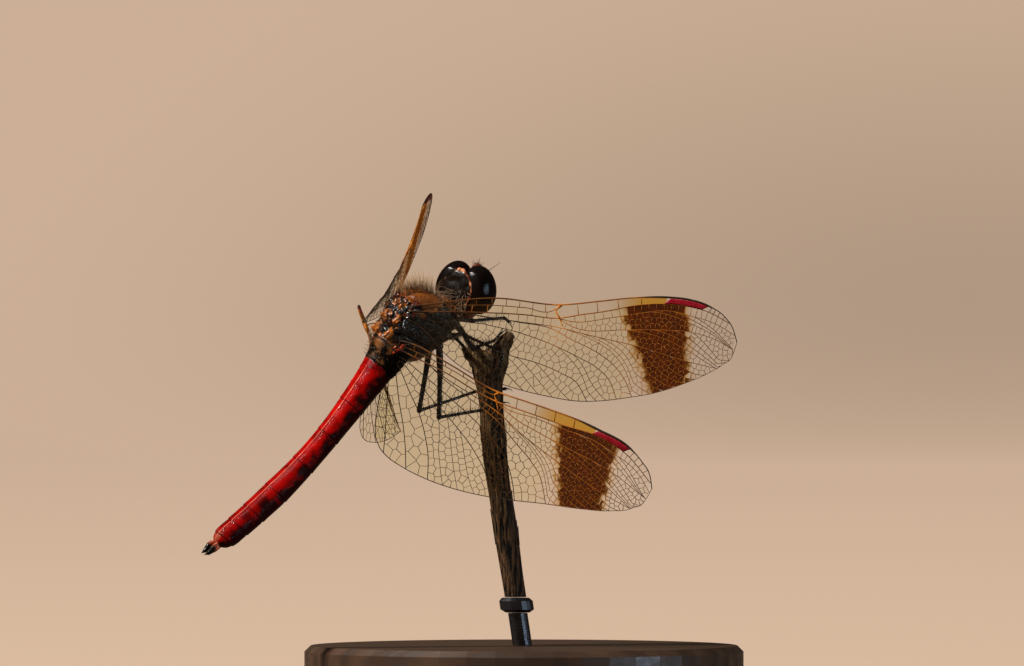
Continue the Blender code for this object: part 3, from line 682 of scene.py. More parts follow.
def membrane_finish(colours):
    """Wing membrane: nearly clear, tinted near the body, amber at the front and brown in the band."""
    skin = Finish("wing_membrane", 0.28, Specular_IOR_Level=0.05)
    tint, band, amber = (skin.point(key) for key in ("tint", "band", "amber"))
    tone, height = skin.cuticle(5.0, 2.2, 2.4)
    edge, full = skin.step(band, 0.0, 0.20), skin.step(band, 0.25, 0.90)
    warm = skin.maths("MAXIMUM", amber, edge)
    honey = skin.mix(edge, rgb(colours.amber), (0.34, 0.125, 0.006))
    colour = skin.mix(warm, (0.07, 0.075, 0.085), honey)
    brown = skin.mix(tone, rgb(colours.band_deep), rgb(colours.band))
    skin.feed(skin.mix(full, colour, brown))
    skin.bump(height, 0.006)
    glow = skin.mix(full, skin.mix(warm, colour, (0.90, 0.44, 0.06)), (0.22, 0.052, 0.003))
    through = skin.node("ShaderNodeBsdfTranslucent", {"Color": glow}).outputs[0]
    film = skin.node("ShaderNodeMixShader", {0: 0.45, 1: skin.shader.outputs[0], 2: through}).outputs[0]
    stain = skin.mix(amber, skin.mix(tint, (0.96, 0.95, 0.92), rgb(colours.tint)), (0.98, 0.66, 0.16))
    clear = skin.node("ShaderNodeBsdfTransparent", {"Color": stain}).outputs[0]
    alpha = skin.blend(amber, skin.blend(tint, 0.020, 0.016), 0.45)
    solid = skin.blend(skin.step(band, 0.0, 0.5), alpha, 0.985)
    body = skin.node("ShaderNodeMixShader", {0: solid, 1: clear, 2: film}).outputs[0]
    skin.tree.links.new(body, skin.tree.nodes["Material Output"].inputs["Surface"])
    return skin.material


def vein_finish(colours):
    """Wing veins: black-brown, turning amber in and before the band."""
    skin = Finish("wing_vein", 0.38, Specular_IOR_Level=0.08)
    amber = skin.point("amber")
    tone, height = skin.cuticle(9.0, 1.5, 1.6)
    dark = skin.mix(tone, (0.012, 0.008, 0.006), (0.05, 0.026, 0.014))
    warm = skin.mix(tone, rgb(colours.vein), (0.80, 0.26, 0.016))
    skin.feed(skin.mix(amber, dark, warm))
    skin.bump(height, 0.006)
    return skin.material


def bark_finish(colours):
    """Dead stem: long dark fibres with paler torn edges."""
    skin = Finish("dead_stem_bark", 0.75, Specular_IOR_Level=0.15)
    torn = skin.point("torn")
    tone, height = skin.cuticle(7.0, 1.1, 1.8)
    where = skin.place((1.0, 1.0, 0.10))
    fibre = skin.grain(where, 5.0, 6.0)
    colour = skin.mix(skin.step(fibre, 0.41, 0.62), rgb(colours.dark), rgb(colours.fibre))
    pale = skin.mix(tone, rgb(colours.fibre), rgb(colours.torn))
    colour = skin.mix(skin.times(torn, skin.step(tone, 0.3, 0.7)), colour, pale)
    skin.feed(colour)
    skin.feed(skin.step(fibre, 0.3, 0.7, 0.5, 0.85), "Roughness")
    skin.bump(skin.plus(skin.times(fibre, 2.0), height), 0.06)
    return skin.material


def hair_finish(name, root, tip):
    """Fine hair that pales towards its tip: partly its own colour, partly a painted highlight of the back
    light on the tips.
    """
    skin = Finish(name, 0.5)
    tone, height = skin.cuticle(6.0, 0.8, 1.2)
    base = skin.mix(tone, root, tuple(0.6 * share for share in root))
    # The paler tip is partly the hair's own colour and partly painted highlight where the back light catches
    # it.
    skin.feed(skin.mix(skin.point("tip"), base, tip))
    skin.bump(height, 0.004)
    return skin.material


def wood_finish():
    """Dark oiled hardwood with fine open grain."""
    skin = Finish("oiled_hardwood", 0.42, Coat_Weight=0.15, Coat_Roughness=0.3)
    where = skin.place((0.09, 1.0, 1.0))
    grain = skin.grain(where, 1.3, 8.0, Distortion=0.6)
    inputs = {"Vector": where, "Scale": 0.11, "Distortion": 11.0, "Detail": 3.0}
    rings = skin.node("ShaderNodeTexWave", inputs, bands_direction="Y")
    tone = skin.plus(skin.times(grain, 0.75), skin.times(rings.outputs[1], 0.25))
    colour = skin.mix(skin.step(tone, 0.3, 0.75), (0.040, 0.020, 0.011), (0.085, 0.043, 0.023))
    skin.feed(colour)
    skin.feed(skin.step(grain, 0.3, 0.7, 0.50, 0.34), "Roughness")
    skin.bump(grain, 0.03)
    return skin.material


def steel_finish(name, roughness):
    """Blackened steel with faint turning marks."""
    skin = Finish(name, roughness, 1.0)
    tone, _ = skin.cuticle(8.0, 0.8, 1.0)
    where = skin.place((0.2, 0.2, 6.0))
    marks = skin.grain(where, 4.0, 2.0)
    skin.feed(skin.mix(tone, (0.05, 0.05, 0.055), (0.11, 0.11, 0.12)))
    skin.feed(skin.step(marks, 0.3, 0.7, roughness * 0.8, roughness * 1.3), "Roughness")
    skin.bump(marks, 0.008)
    return skin.material


def backdrop_finish(colour):
    """Plain warm paper that glows a little, so that it stays even from every side, but for a painted soft
    shade on the wall.
    """
    skin = Finish("backdrop_paper", 0.95, Specular_IOR_Level=0.1)
    where = skin.node("ShaderNodeTexCoord").outputs["Object"]
    tone = skin.grain(where, 2.0, 1.0)
    low, high = (tuple(share * factor for share in rgb(colour)) for factor in (0.97, 1.03))
    skin.feed(skin.mix(0.82, skin.mix(tone, low, high), (0.0, 0.0, 0.0)))
    skin.feed(skin.mix(tone, low, high), "Emission Color")
    seen = skin.node("ShaderNodeLightPath").outputs["Is Camera Ray"]
    # Painted shade: the glow dims to 72 per cent within SHADE_REACH of SHADE_CENTRE on the wall.
    offset = skin.node("ShaderNodeVectorMath", {0: where, 1: SHADE_CENTRE}, operation="DISTANCE")
    away = offset.outputs["Value"]
    glow = skin.times(skin.blend(seen, 0.08, 1.04), skin.step(away, 0.0, SHADE_REACH, 0.72, 1.0))
    skin.feed(glow, "Emission Strength")
    return skin.material


# ------------------------------------------------------------------ wings

def clip_cell(corners, labels, middle, towards, label):
    """Keeps the side of a cell that faces away from a neighbour, and names the new wall."""
    kept, names = [], []
    count = len(corners)
    sides = [(x - middle[0]) * towards[0] + (y - middle[1]) * towards[1] for x, y in corners]
    for k in range(count):
        after = (k + 1) % count
        a, b, here, there = corners[k], corners[after], sides[k], sides[after]
        if here <= 0:
            kept.append(a)
            names.append(labels[k])
        if (here <= 0) != (there <= 0):
            share = here / (here - there)
            kept.append((a[0] + (b[0] - a[0]) * share, a[1] + (b[1] - a[1]) * share))
            names.append(label if here <= 0 else labels[k])
    return kept, names


def nearest_on(wall, points):
    """The nearest spot of a wall, a line of points, to each of some points."""
    start, end = wall[:-1], wall[1:]
    step_along = end - start
    length = np.maximum((step_along**2).sum(axis=1), 1e-12)
    offset = points[:, None] - start[None]
    share = np.clip((offset * step_along).sum(axis=2) / length, 0, 1)
    spots = start[None] + share[..., None] * step_along[None]
    best = ((spots - points[:, None]) ** 2).sum(axis=2).argmin(axis=1)
    return spots[np.arange(len(points)), best]


def grow_cells(seeds, walls):
    """One cell round each seed; the walls of the field meet the cells squarely."""
    mirrors = [2 * nearest_on(wall, seeds) - seeds for wall in walls]
    everyone = np.concatenate([seeds, *mirrors])
    count = len(seeds)
    owner = np.concatenate([np.arange(count)] + [np.full(count, -1 - k) for k in range(len(walls))])
    cells = []
    for x, y in seeds:
        away = ((everyone - (x, y)) ** 2).sum(axis=1)
        corners = [(x - 2.5, y - 2.5), (x + 2.5, y - 2.5), (x + 2.5, y + 2.5), (x - 2.5, y + 2.5)]
        labels = [-9, -9, -9, -9]
        for j in np.argsort(away)[1:40]:
            reach = max((p - x) ** 2 + (q - y) ** 2 for p, q in corners)
            if away[j] > 4 * reach:
                break
            other = everyone[j]
            middle = ((x + other[0]) / 2, (y + other[1]) / 2)
            corners, labels = clip_cell(corners, labels, middle, (other[0] - x, other[1] - y), int(owner[j]))
            if len(corners) < 3:
                break
        cells.append((corners, labels))
    return cells


def centre_of(corners):
    """The centroid of a flat cell."""
    x, y = np.array(corners).T
    cross = x * np.roll(y, -1) - np.roll(x, -1) * y
    area = cross.sum() / 2
    if abs(area) < 1e-6:
        return x.mean(), y.mean()
    return tuple(((axis + np.roll(axis, -1)) * cross).sum() / (6 * area) for axis in (x, y))


def closeness(u):
    """How much closer the cells lie than at the root: they get finer towards the tip."""
    return 1 + 1.2 * (u / 27) ** 2


def fill_field(top, bottom, start, end, count, chance, settle=7):
    """Even cells between two veins, snapped to them, finer towards the wing's tip."""
    u = np.linspace(start, end, max(int((end - start) / 0.12), 12))
    upper, lower = top(u), np.maximum(bottom(u), top(u) + 0.01)
    weight = np.cumsum((lower - upper) * closeness(u))
    spread = (np.arange(count) + chance.uniform(0.25, 0.75, count)) / count * weight[-1]
    along = np.interp(spread, weight, u)
    share = chance.uniform(0.2, 0.8, count)
    seeds = columns(along, np.interp(along, u, upper) * (1 - share) + np.interp(along, u, lower) * share)
    rise = np.linspace(0, 1, 5)
    walls = [columns(u, upper), columns(u, lower)]
    for where, k in ((start, 0), (end, -1)):
        if lower[k] - upper[k] > 0.15:
            walls.append(columns(where, upper[k] + (lower[k] - upper[k]) * rise))
    for _ in range(settle):
        cells = grow_cells(seeds, walls)
        seeds = np.array([centre_of(c) if len(c) > 2 else s for (c, _), s in zip(cells, seeds)])
        inside = np.clip(seeds[:, 0], start + 0.02, end - 0.02)
        low, high = np.interp(inside, u, upper), np.interp(inside, u, lower)
        margin = 0.12 * (high - low)
        seeds = columns(inside, np.clip(seeds[:, 1], low + margin, high - margin))
    snapped = []
    for corners, labels in grow_cells(seeds, walls):
        moved = []
        for k, (x, y) in enumerate(corners):
            touching = (labels[k], labels[k - 1])
            x = min(max(x, start), end)
            if -1 in touching:
                y = float(np.interp(x, u, upper))
            if -2 in touching:
                y = float(np.interp(x, u, lower))
            moved.append((x, min(max(y, float(np.interp(x, u, upper))), float(np.interp(x, u, lower)))))
        snapped.append((moved, labels))
    return snapped


def side_branch(upper, lower, root, tip):
    """A side branch that leaves the upper vein at its root and reaches the lower one at its tip."""
    def line(u):
        share = np.clip((np.asarray(u, dtype=float) - root) / (tip - root), 0, 1) ** 1.25
        return upper(u) + share * (lower(u) - upper(u))

    return line


class Wing:
    """One wing: its flat plan and the curved surface that the plan is laid on."""

    def __init__(self, name):
        plan, side, sweep, droop, self.root_pitch, self.tip_pitch, self.arch, self.settled = WINGS[name]
        self.plan, self.span = plan, plan["span"]
        sweep, droop = math.radians(sweep), math.radians(droop)
        self.along = np.array((
            math.sin(sweep) * math.cos(droop), side * math.cos(sweep) * math.cos(droop), -math.sin(droop)
        ))
        rear = np.array((-1.0, 0.0, 0.0))
        self.rear = unit(rear - rear.dot(self.along) * self.along)
        self.up = np.cross(self.rear, self.along) if side < 0 else np.cross(self.along, self.rear)
        self.root = np.array((plan["root"][0], side * plan["root"][1], plan["root"][2]))
        self.ways = {**plan["veins"], "costa": plan["leading"], "trailing": plan["trailing"]}
        self.lines = {name: smooth_line(points) for name, points in self.ways.items()}
        self.rays, self.fine = {}, 0.75 if side > 0 else 1.0

    def fields(self):
        """Top line, bottom line, start, end and cell count of each field, with side branches put in."""
        for top, bottom, start, end, count in self.plan["fields"]:
            upper, lower = self.lines[top], self.bottom_of(bottom)
            edges, starts, ends = [(bottom, lower)], [start], []
            for index, (root, tip) in enumerate(self.plan["rays"].get((top, bottom), [])):
                name = f"{top}_{bottom}_{index}"
                line = side_branch(upper, lower, root, tip)
                self.rays[name] = (line, root, tip)
                edges.append((name, line))
                starts.append(root)
                ends.append(tip)
            edges.append((top, upper))
            ends.append(end)
            parts = list(zip(edges[1:], edges, starts, ends))
            areas = []
            for (_, high), (_, low), begin, stop in parts:
                u = np.linspace(begin, stop, 80)
                density = closeness(u) * np.maximum(low(u) - high(u), 0)
                areas.append(density.mean() * (stop - begin))
            for (high, low, begin, stop), area in zip(parts, areas):
                yield high, low, begin, stop, max(int(round(count * area / sum(areas))), 1)

    def chord_axes(self, u):
        share = np.clip(u / self.span, 0, 1)
        turn = np.minimum(share / self.settled, 1.0)
        pitch = np.radians(self.root_pitch + (self.tip_pitch - self.root_pitch) * turn)[..., None]
        chord = np.cos(pitch) * self.rear - np.sin(pitch) * self.up
        normal = np.cos(pitch) * self.up + np.sin(pitch) * self.rear
        return share, chord, normal

    def place(self, u, v, lift=0.0):
        """Points of the flat plan, with a lift off it, in the room's axes."""
        u, v = np.asarray(u, dtype=float), np.asarray(v, dtype=float)
        share, chord, normal = self.chord_axes(u)
        rise = (self.arch * np.sin(math.pi * share) + lift)[..., None]
        return body_to_room(self.root + self.along * u[..., None] + chord * v[..., None] + normal * rise)

    def normals(self, u):
        return self.chord_axes(np.asarray(u, dtype=float))[2] @ BODY_AXES.T

    def lift_of(self, name, u):
        """How far a vein stands off the flat: the front veins fold the wing like a fan."""
        share = np.clip(np.asarray(u, dtype=float) / self.span, 0, 1)
        return VEIN_LIFTS.get(name, SMALL_VEIN_LIFT) * (1.15 - 0.85 * share)

    def bottom_of(self, name):
        """A field's hind limit: its vein, or the wing's hind edge beyond the vein's end."""
        edge = self.lines["trailing"]
        if name == "trailing":
            return edge
        last = self.ways[name][-1][0]
        return lambda u: np.where(u < last + 0.02, np.minimum(self.lines[name](u), edge(u)), edge(u))


def vein_amber(plan, u, v, least=0.0):
    """How amber a vein is: black near the body, orange at the nodus, amber in the band."""
    first, _, last, _ = plan["band"]
    nodus = plan["nodus"]
    places = [nodus - 3.0, nodus - 1.2, nodus, nodus + 1, first - 2, first, last, last + 0.8]
    along = np.maximum(np.interp(u, places, [0, 0.3, 1.0, 0.6, 0.4, 0.55, 0.55, 0.15]), least)
    behind = ease(v, 0.8, 2.4) * (1 - ease(u, first - 2.2, first - 0.5))
    return np.clip(along * (1 - 0.85 * behind), 0, 1)


def film_colours(plan, u, v, front, jitter, stain):
    """Tint, brown band and amber of the membrane at some points of one cell."""
    first, slope, last, drift = plan["band"]
    u, v = u + jitter, np.asarray(v)
    start, end = first + slope * v, last + drift * v
    tint = (1 - ease(u, first - 1.0, first + 1.5)) * (0.35 if front else 0.85) * stain
    if front:
        strip = ease(u, plan["amber"][0] - 1.2, plan["amber"][0] + 1.8) * (u < plan["amber"][1] + 0.6)
        return tint, 0 * u, strip
    band = ease(u, start - 0.16, start + 0.30) * (1 - ease(u, end - 0.30, end + 0.16))
    halo = 0.9 * bell(u - start + 0.20, 0.26) + 0.8 * bell(u - end - 0.18, 0.18)
    return tint, band, np.clip(halo, 0, 1)


def build_wing(name, finishes, seed):
    """The membrane cells, the vein net over them and the red mark near the tip."""
    wing, chance = Wing(name), np.random.default_rng(seed)
    plan = wing.plan
    skin, net = Shape("tint", "band", "amber"), Shape("amber")
    stain = LEFT_STAIN.get(name, 1.0)
    for (top, upper), (bottom, lower), start, end, count in wing.fields():
        front = bottom == "subcosta" or top in ("costa", "subcosta")
        for index, (corners, labels) in enumerate(fill_field(upper, lower, start, end, count, chance)):
            if len(corners) < 3:
                continue
            u, v = np.array(corners).T
            high, low = upper(u), lower(u)
            share = np.clip((v - high) / np.maximum(low - high, 0.02), 0, 1)
            lift = (1 - share) * wing.lift_of(top, u) + share * wing.lift_of(bottom, u)
            points = wing.place(u, v, lift)
            jitter = chance.uniform(-BAND_JITTER, BAND_JITTER)
            strip = top == "costa"
            rim = film_colours(plan, u, v, strip, jitter, stain)
            middle = film_colours(plan, u.mean(), v.mean(), strip, 0.6 * jitter, stain)
            colours = {key: np.append(*pair) for key, pair in zip(skin.values, zip(rim, middle))}
            colours["amber"][-1] *= 1.0 if strip else 0.45
            fan = [(k, (k + 1) % len(u), len(u)) for k in range(len(u))]
            skin.add(np.vstack([points, points.mean(axis=0)]), fan, **colours)
            for k, label in enumerate(labels):
                if label > index:
                    pair = [k, (k + 1) % len(u)]
                    warm = vein_amber(plan, u[pair], v[pair], 0.45 if front and u[k] < plan["nodus"] else 0.0)
                    thick = (0.034 if front else 0.024) * chance.uniform(0.85, 1.15) * wing.fine
                    add_tube(net, points[pair], thick, 4, wing.normals(u[pair]), amber=warm)
    add_main_veins(net, wing)
    add_nodus(net, wing)
    skin.build(name + "_membrane", finishes["membrane"], "wing")
    net.build(name + "_veins", finishes["vein"], "wing", replaces=(name,))
    build_stigma(name, wing, finishes)


def add_main_veins(net, wing):
    """The long veins, thick at the root and the front edge, and their fine side branches."""
    plan = wing.plan
    mark_start, mark_end = plan["stigma"]
    for key, way in wing.ways.items():
        start, end = way[0][0], way[-1][0]
        share = np.linspace(0, 1, 120)
        u = start + (end - start) * (1 - (1 - share) ** (1.6 if key in ("costa", "trailing") else 1.0))
        v = wing.lines[key](u)
        root = 1 + SWOLLEN_ROOTS.get(key, 0.0) * (1 - ease(u, -0.5, 1.6))
        radii = VEIN_RADII.get(key, SMALL_VEIN_RADIUS) * root * (1 - 0.35 * ease(u, 14, wing.span))
        radii = radii * wing.fine
        warm = vein_amber(plan, u, v, 0.16 * (u > 0.8) if key in VEIN_RADII else 0.0)
        if key == "costa":
            beside = 1 - ease(u, mark_end, mark_end + 1)
            radii = radii + 0.045 * ease(u, mark_start - 2.5, mark_start) * beside
            warm = warm * (1 - ease(u, mark_start - 3.0, mark_start - 1.0))
        if key == "trailing":
            warm = warm * 0.3
        add_tube(net, wing.place(u, v, wing.lift_of(key, u)), radii, 6, wing.normals(u), amber=warm)
    for line, root, tip in wing.rays.values():
        u = np.linspace(root, tip, 40)
        v = line(u)
        warm = vein_amber(plan, u, v)
        add_tube(net, wing.place(u, v, 0.02), 0.026 * wing.fine, 5, wing.normals(u), amber=warm)


def add_nodus(net, wing):
    """The knot in the front edge where the wing flexes, with its short thick cross-bar."""
    u = wing.plan["nodus"]
    front, back = wing.lines["costa"](u), wing.lines["radius"](u)
    v = np.linspace(front, back, 9)
    path = wing.place(u + 0.05 - 0.38 * np.sin(np.linspace(0, math.pi, 9)) ** 1.5, v, 0.06)
    add_tube(net, path, (0.14, 0.12, 0.085, 0.07, 0.06, 0.06, 0.06, 0.07, 0.08), 8,
             amber=(0.5, 0.8, 1.0, 1.0, 1.0, 1.0, 1.0, 1.0, 0.9))
    tail = wing.place(np.linspace(u, u + 0.40, 5), np.linspace(back, back + 0.62, 5), 0.02)
    add_tube(net, tail, (0.08, 0.06, 0.05, 0.045, 0.04), 6, amber=1.0)


def build_stigma(name, wing, finishes):
    """The crimson mark on the front edge: a thick little plate with bevelled sides."""
    start, end = wing.plan["stigma"]
    rows, count = 26, 7
    across = np.linspace(0, 1, count)
    points = []
    for u in np.linspace(start, end, rows):
        at = u - 0.45 * (across - 0.5)
        front, back = wing.lines["costa"](at) + 0.09, wing.lines["radius"](at) - 0.03
        v = front + (back - front) * across
        bevel = min(1, 8 * min(u - start, end - u) / (end - start) + 0.25)
        dome = 0.05 + 0.035 * (np.minimum(1, 6 * np.minimum(across, 1 - across)) * bevel)
        base = (1 - across) * wing.lift_of("costa", at) + across * wing.lift_of("radius", at)
        points += [wing.place(at, v, base + dome), wing.place(at, v, base - dome)[::-1]]
    mark = Shape()
    mark.add(np.concatenate(points), ring_faces(rows, 2 * count))
    mark.build(name + "_stigma", finishes["stigma"], "wing")


# ------------------------------------------------------------------ abdomen

def abdomen_middle(x):
    """Height of the abdomen's middle: it sags behind the waist and rises in it."""
    top, front, back = (ABDOMEN_STATIONS[k][0] for k in (0, 2, -1))
    sag = np.sin(math.pi * np.clip((x - front) / (back - front), 0, 1))
    return WAIST_RISE * ease(x, front, top) - ABDOMEN_SAG * sag


def build_abdomen(finish):
    """One red skin over all ten segments, with their joints, keel and side ridges."""
    rings, sides = 420, 72
    radius_at = smooth_line(ABDOMEN_STATIONS)
    x = np.linspace(*ABDOMEN_SKIN, rings)
    angle = round_angles(sides) + math.pi / 2 + ABDOMEN_TWIST
    joints = np.array([station for station, _ in ABDOMEN_STATIONS[1:-1]])
    nearest = np.abs(x[:, None] - joints).min(axis=1)
    behind = x[:, None] - joints
    groove = -0.055 * bell(nearest, 0.07)
    flare = 0.055 * np.where((behind > 0) & (behind < 0.9), np.exp(-behind / 0.30), 0).max(axis=1)
    ridge = 0.045 * (bell(x + 3.85, 0.10) + bell(x + 3.40, 0.08))
    ridge = ridge + 0.040 * (bell(x + 5.60, 0.07) + bell(x + 7.05, 0.07))
    radius = radius_at(x) + groove + flare + ridge
    radius = radius * np.sqrt(np.clip((x + 24.52) / 0.30, 0.02, 1)) ** 0.5
    top, low = angle - math.pi / 2 - ABDOMEN_TWIST, angle + math.pi / 2 - ABDOMEN_TWIST
    keel = bell(np.degrees(wrapped(top)), 4.5)
    side_ridge = bell(np.degrees(np.abs(wrapped(low))) - 52.0, 6.0)
    belly = bell(np.degrees(wrapped(low)), 26.0)
    rear = ease(-x, 4.6, 6.0) * (1 - 0.5 * ease(-x, 21.0, 24.0))
    reach = (radius[:, None] + rear[:, None] * (0.065 * keel + 0.045 * side_ridge)[None] - 0.10 * belly[None])
    y = 1.04 * reach * np.sign(np.cos(angle)) * np.abs(np.cos(angle)) ** 0.95
    z = 0.96 * reach * np.sign(np.sin(angle)) * np.abs(np.sin(angle)) ** 0.95 + abdomen_middle(x)[:, None]
    points = columns(x[:, None], y, z).reshape(-1, 3)
    down = np.degrees(np.abs(wrapped(top))) / 180.0
    skin = Shape("along", "around", "joint")
    skin.add(
        body_to_room(points), ring_faces(rings, sides),
        along=np.repeat(-x, sides), around=np.tile(down, rings),
        joint=np.repeat(bell(nearest, 0.06), sides),
    )
    skin.build("abdomen_skin", finish, "abdomen", [f"abdomen_{k}" for k in range(1, 11)])


def build_claspers(finish):
    """Two pointed upper claspers and the forked plate below them."""
    start, height = CLASPER_ROOT, float(abdomen_middle(ABDOMEN_STATIONS[-1][0]))
    for name, side in (("cercus_right", -1), ("cercus_left", 1)):
        path = smooth_path([
            (start, side * 0.26, height + 0.22), (start - 0.45, side * 0.33, height + 0.30),
            (start - 1.0, side * 0.30, height + 0.26), (start - 1.50, side * 0.22, height + 0.42),
        ], 18)
        share = np.linspace(0, 1, 18)
        radii = 0.13 + 0.11 * np.sin(math.pi * np.clip(share * 1.1, 0, 1)) * (1 - 0.2 * share)
        radii = radii * (1 - ease(share, 0.72, 1.02) * 0.9)
        clasper = Shape("tip")
        add_tube(clasper, body_to_room(path), radii, 14, tip=ease(share, 0.12, 0.42))
        for k in range(16):
            at = 2 + k % 13
            out = body_to_room(path[at] + (0, side * 0.3, 0.25 - 0.04 * k)) - body_to_room(path[at])
            root = body_to_room(path[at]) + unit(out) * radii[at] * 0.8
            add_spike(clasper, root, root + unit(out) * 0.22, 0.012, tip=1.0)
        clasper.build(name + "_clasper", finish, "clasper", (name,))
    path = smooth_path([
        (start, 0, height - 0.28), (start - 0.5, 0, height - 0.24), (start - 0.98, 0, height - 0.06),
    ], 12)
    share = np.linspace(0, 1, 12)
    plate = Shape("tip")
    add_tube(plate, body_to_room(path), 0.23 - 0.13 * share**2, 14, flatten=0.7, tip=ease(share, 0.2, 0.7))
    plate.build("epiproct_plate", finish, "clasper", ("epiproct",))


# ------------------------------------------------------------------ thorax

SEAMS = (((0.55, 2.7), (1.55, -2.9)), ((-0.75, 2.5), (0.55, -2.95)), ((-1.9, 2.0), (-0.55, -2.9)))


def seam_distance(x, z):
    """Distance along the body to the nearest side seam, at a height."""
    gaps = []
    for (x_top, z_top), (x_low, z_low) in SEAMS:
        line = x_low + (x_top - x_low) * (z - z_low) / (z_top - z_low)
        gaps.append(np.abs(x - line))
    return np.min(gaps, axis=0)


def trunk_surface(x, angle):
    """Points of the trunk's skin in the body axes, before seams are cut."""
    low, high, half = (smooth_line(TRUNK_STATIONS, column)(x) for column in (1, 2, 3))
    power = 2 / 2.25
    cosine, sine = np.cos(angle), np.sin(angle)
    y = half * np.sign(cosine) * np.abs(cosine) ** power
    z = (low + high) / 2 + (high - low) / 2 * np.sign(sine) * np.abs(sine) ** power
    return columns(x, y, z)


def build_trunk(finish):
    """One skin over neck, front thorax and thorax, with seams, crest and swollen side plates."""
    rings, sides = 230, 150
    x, angle = np.meshgrid(np.linspace(*TRUNK_SKIN, rings), round_angles(sides), indexing="ij")
    points = trunk_surface(x, angle)
    outward = unit(points - columns(x, 0.0, 0.0))
    y, z = points[..., 1], points[..., 2]
    on_side = ease(np.abs(y), 0.5, 1.1) * (1 - ease(x, 2.3, 2.8))
    gap = seam_distance(x, z)
    seam = bell(gap, 0.07) * on_side
    swell = 0.05 * (1 - bell(gap, 0.35)) * on_side
    front = ease(x, 0.6, 1.1) * (1 - ease(x, 2.5, 2.9)) * (z > 0)
    furrow = bell(y + 0.22, 0.13) * front
    lobes = bell(np.abs(y + 0.22) - 0.75, 0.50) * front
    collar = bell(x - 2.93, 0.07)
    flat = points.reshape(-1, 3)
    rough = (0.045 * wobble(flat, 1.9) + 0.026 * wobble(flat, 5.0, 7.0)).reshape(x.shape)
    saddle = ease(x, -2.3, -1.9) * (1 - ease(x, 0.55, 0.95)) * ease(z, 1.4, 2.1)
    saddle = saddle * (1 - ease(np.abs(y), 1.2, 1.7))
    depth = -0.085 * seam + swell + 0.10 * lobes - 0.14 * furrow - 0.08 * collar + rough - 0.30 * saddle
    points = points + outward * depth[..., None]
    top = ease(z - 0.35 * (2.0 - x), 0.35, 1.15)
    black = 1 - top * ease(x, -0.2, 0.5) * (1 - 0.6 * bell(gap, 0.25) * on_side)
    black = np.where(x > 2.6, 0.35 + 0.5 * ease(-z, 0.4, 1.6), black)
    lower_warm = 0.6 * ease(-x, 1.1, 2.0) * ease(-z, -0.6, 1.2) * ease(-y, 0.6, 1.4)
    skin = Shape("black", "seam")
    skin.add(
        body_to_room(points.reshape(-1, 3)), ring_faces(rings, sides, flip=True),
        black=np.clip(black - lower_warm, 0, 1).reshape(-1),
        seam=np.clip(seam + collar * 0.8 + furrow, 0, 1).reshape(-1),
    )
    skin.build("thorax_skin", finish, "thorax", ("thorax", "prothorax", "neck"))


# The largest lumps of the back between the wings: centre, half sizes, turn, and how orange each is
BACK_PLATES = [
    ((0.34, 0.0, 2.74), (0.42, 0.62, 0.26), (0, 8, 0), 0.35),
    ((-0.06, 0.42, 2.70), (0.42, 0.30, 0.24), (12, 4, 20), 0.95),
    ((-0.42, 1.26, 2.42), (0.26, 0.24, 0.22), (20, 0, 10), 0.5),
    ((-1.10, 0.80, 2.46), (0.54, 0.34, 0.26), (18, 10, -25), 1.0),
    ((-1.16, 0.0, 2.66), (0.34, 0.34, 0.30), (0, 12, 0), 0.45),
    ((-1.76, 0.34, 2.46), (0.30, 0.24, 0.24), (0, 14, 0), 0.5),
    ((-2.40, 0.82, 2.10), (0.56, 0.50, 0.34), (20, 16, -30), 1.0),
    ((-2.42, 0.0, 2.22), (0.32, 0.30, 0.24), (0, 20, 0), 0.5),
    ((-2.86, 0.0, 2.06), (0.16, 0.52, 0.13), (0, 8, 0), 0.6),
    ((-2.72, 0.75, 1.80), (0.20, 0.34, 0.16), (24, 10, 0), 0.3),
    ((-0.58, 0.0, 2.64), (0.26, 0.30, 0.22), (0, 6, 0), 0.1),
    ((-1.70, 1.15, 2.05), (0.32, 0.24, 0.22), (20, 0, 0), 0.7),
]
SMALL_LUMPS = 46
# Hinge plates at each wing's root: offset from the root in the body axes, half sizes, turn
HINGE_PLATES = [
    ((0.42, -0.34, 0.06), (0.26, 0.20, 0.16), (0, 0, 20)),
    ((0.02, -0.30, 0.10), (0.22, 0.16, 0.14), (20, 0, 0)),
    ((-0.38, -0.26, 0.08), (0.28, 0.18, 0.13), (0, 10, -15)),
    ((0.20, -0.02, -0.16), (0.24, 0.17, 0.15), (0, 30, 0)),
    ((-0.28, 0.02, -0.20), (0.20, 0.16, 0.16), (10, 0, 30)),
    ((-0.72, -0.10, -0.02), (0.24, 0.13, 0.10), (0, 0, 35)),
]


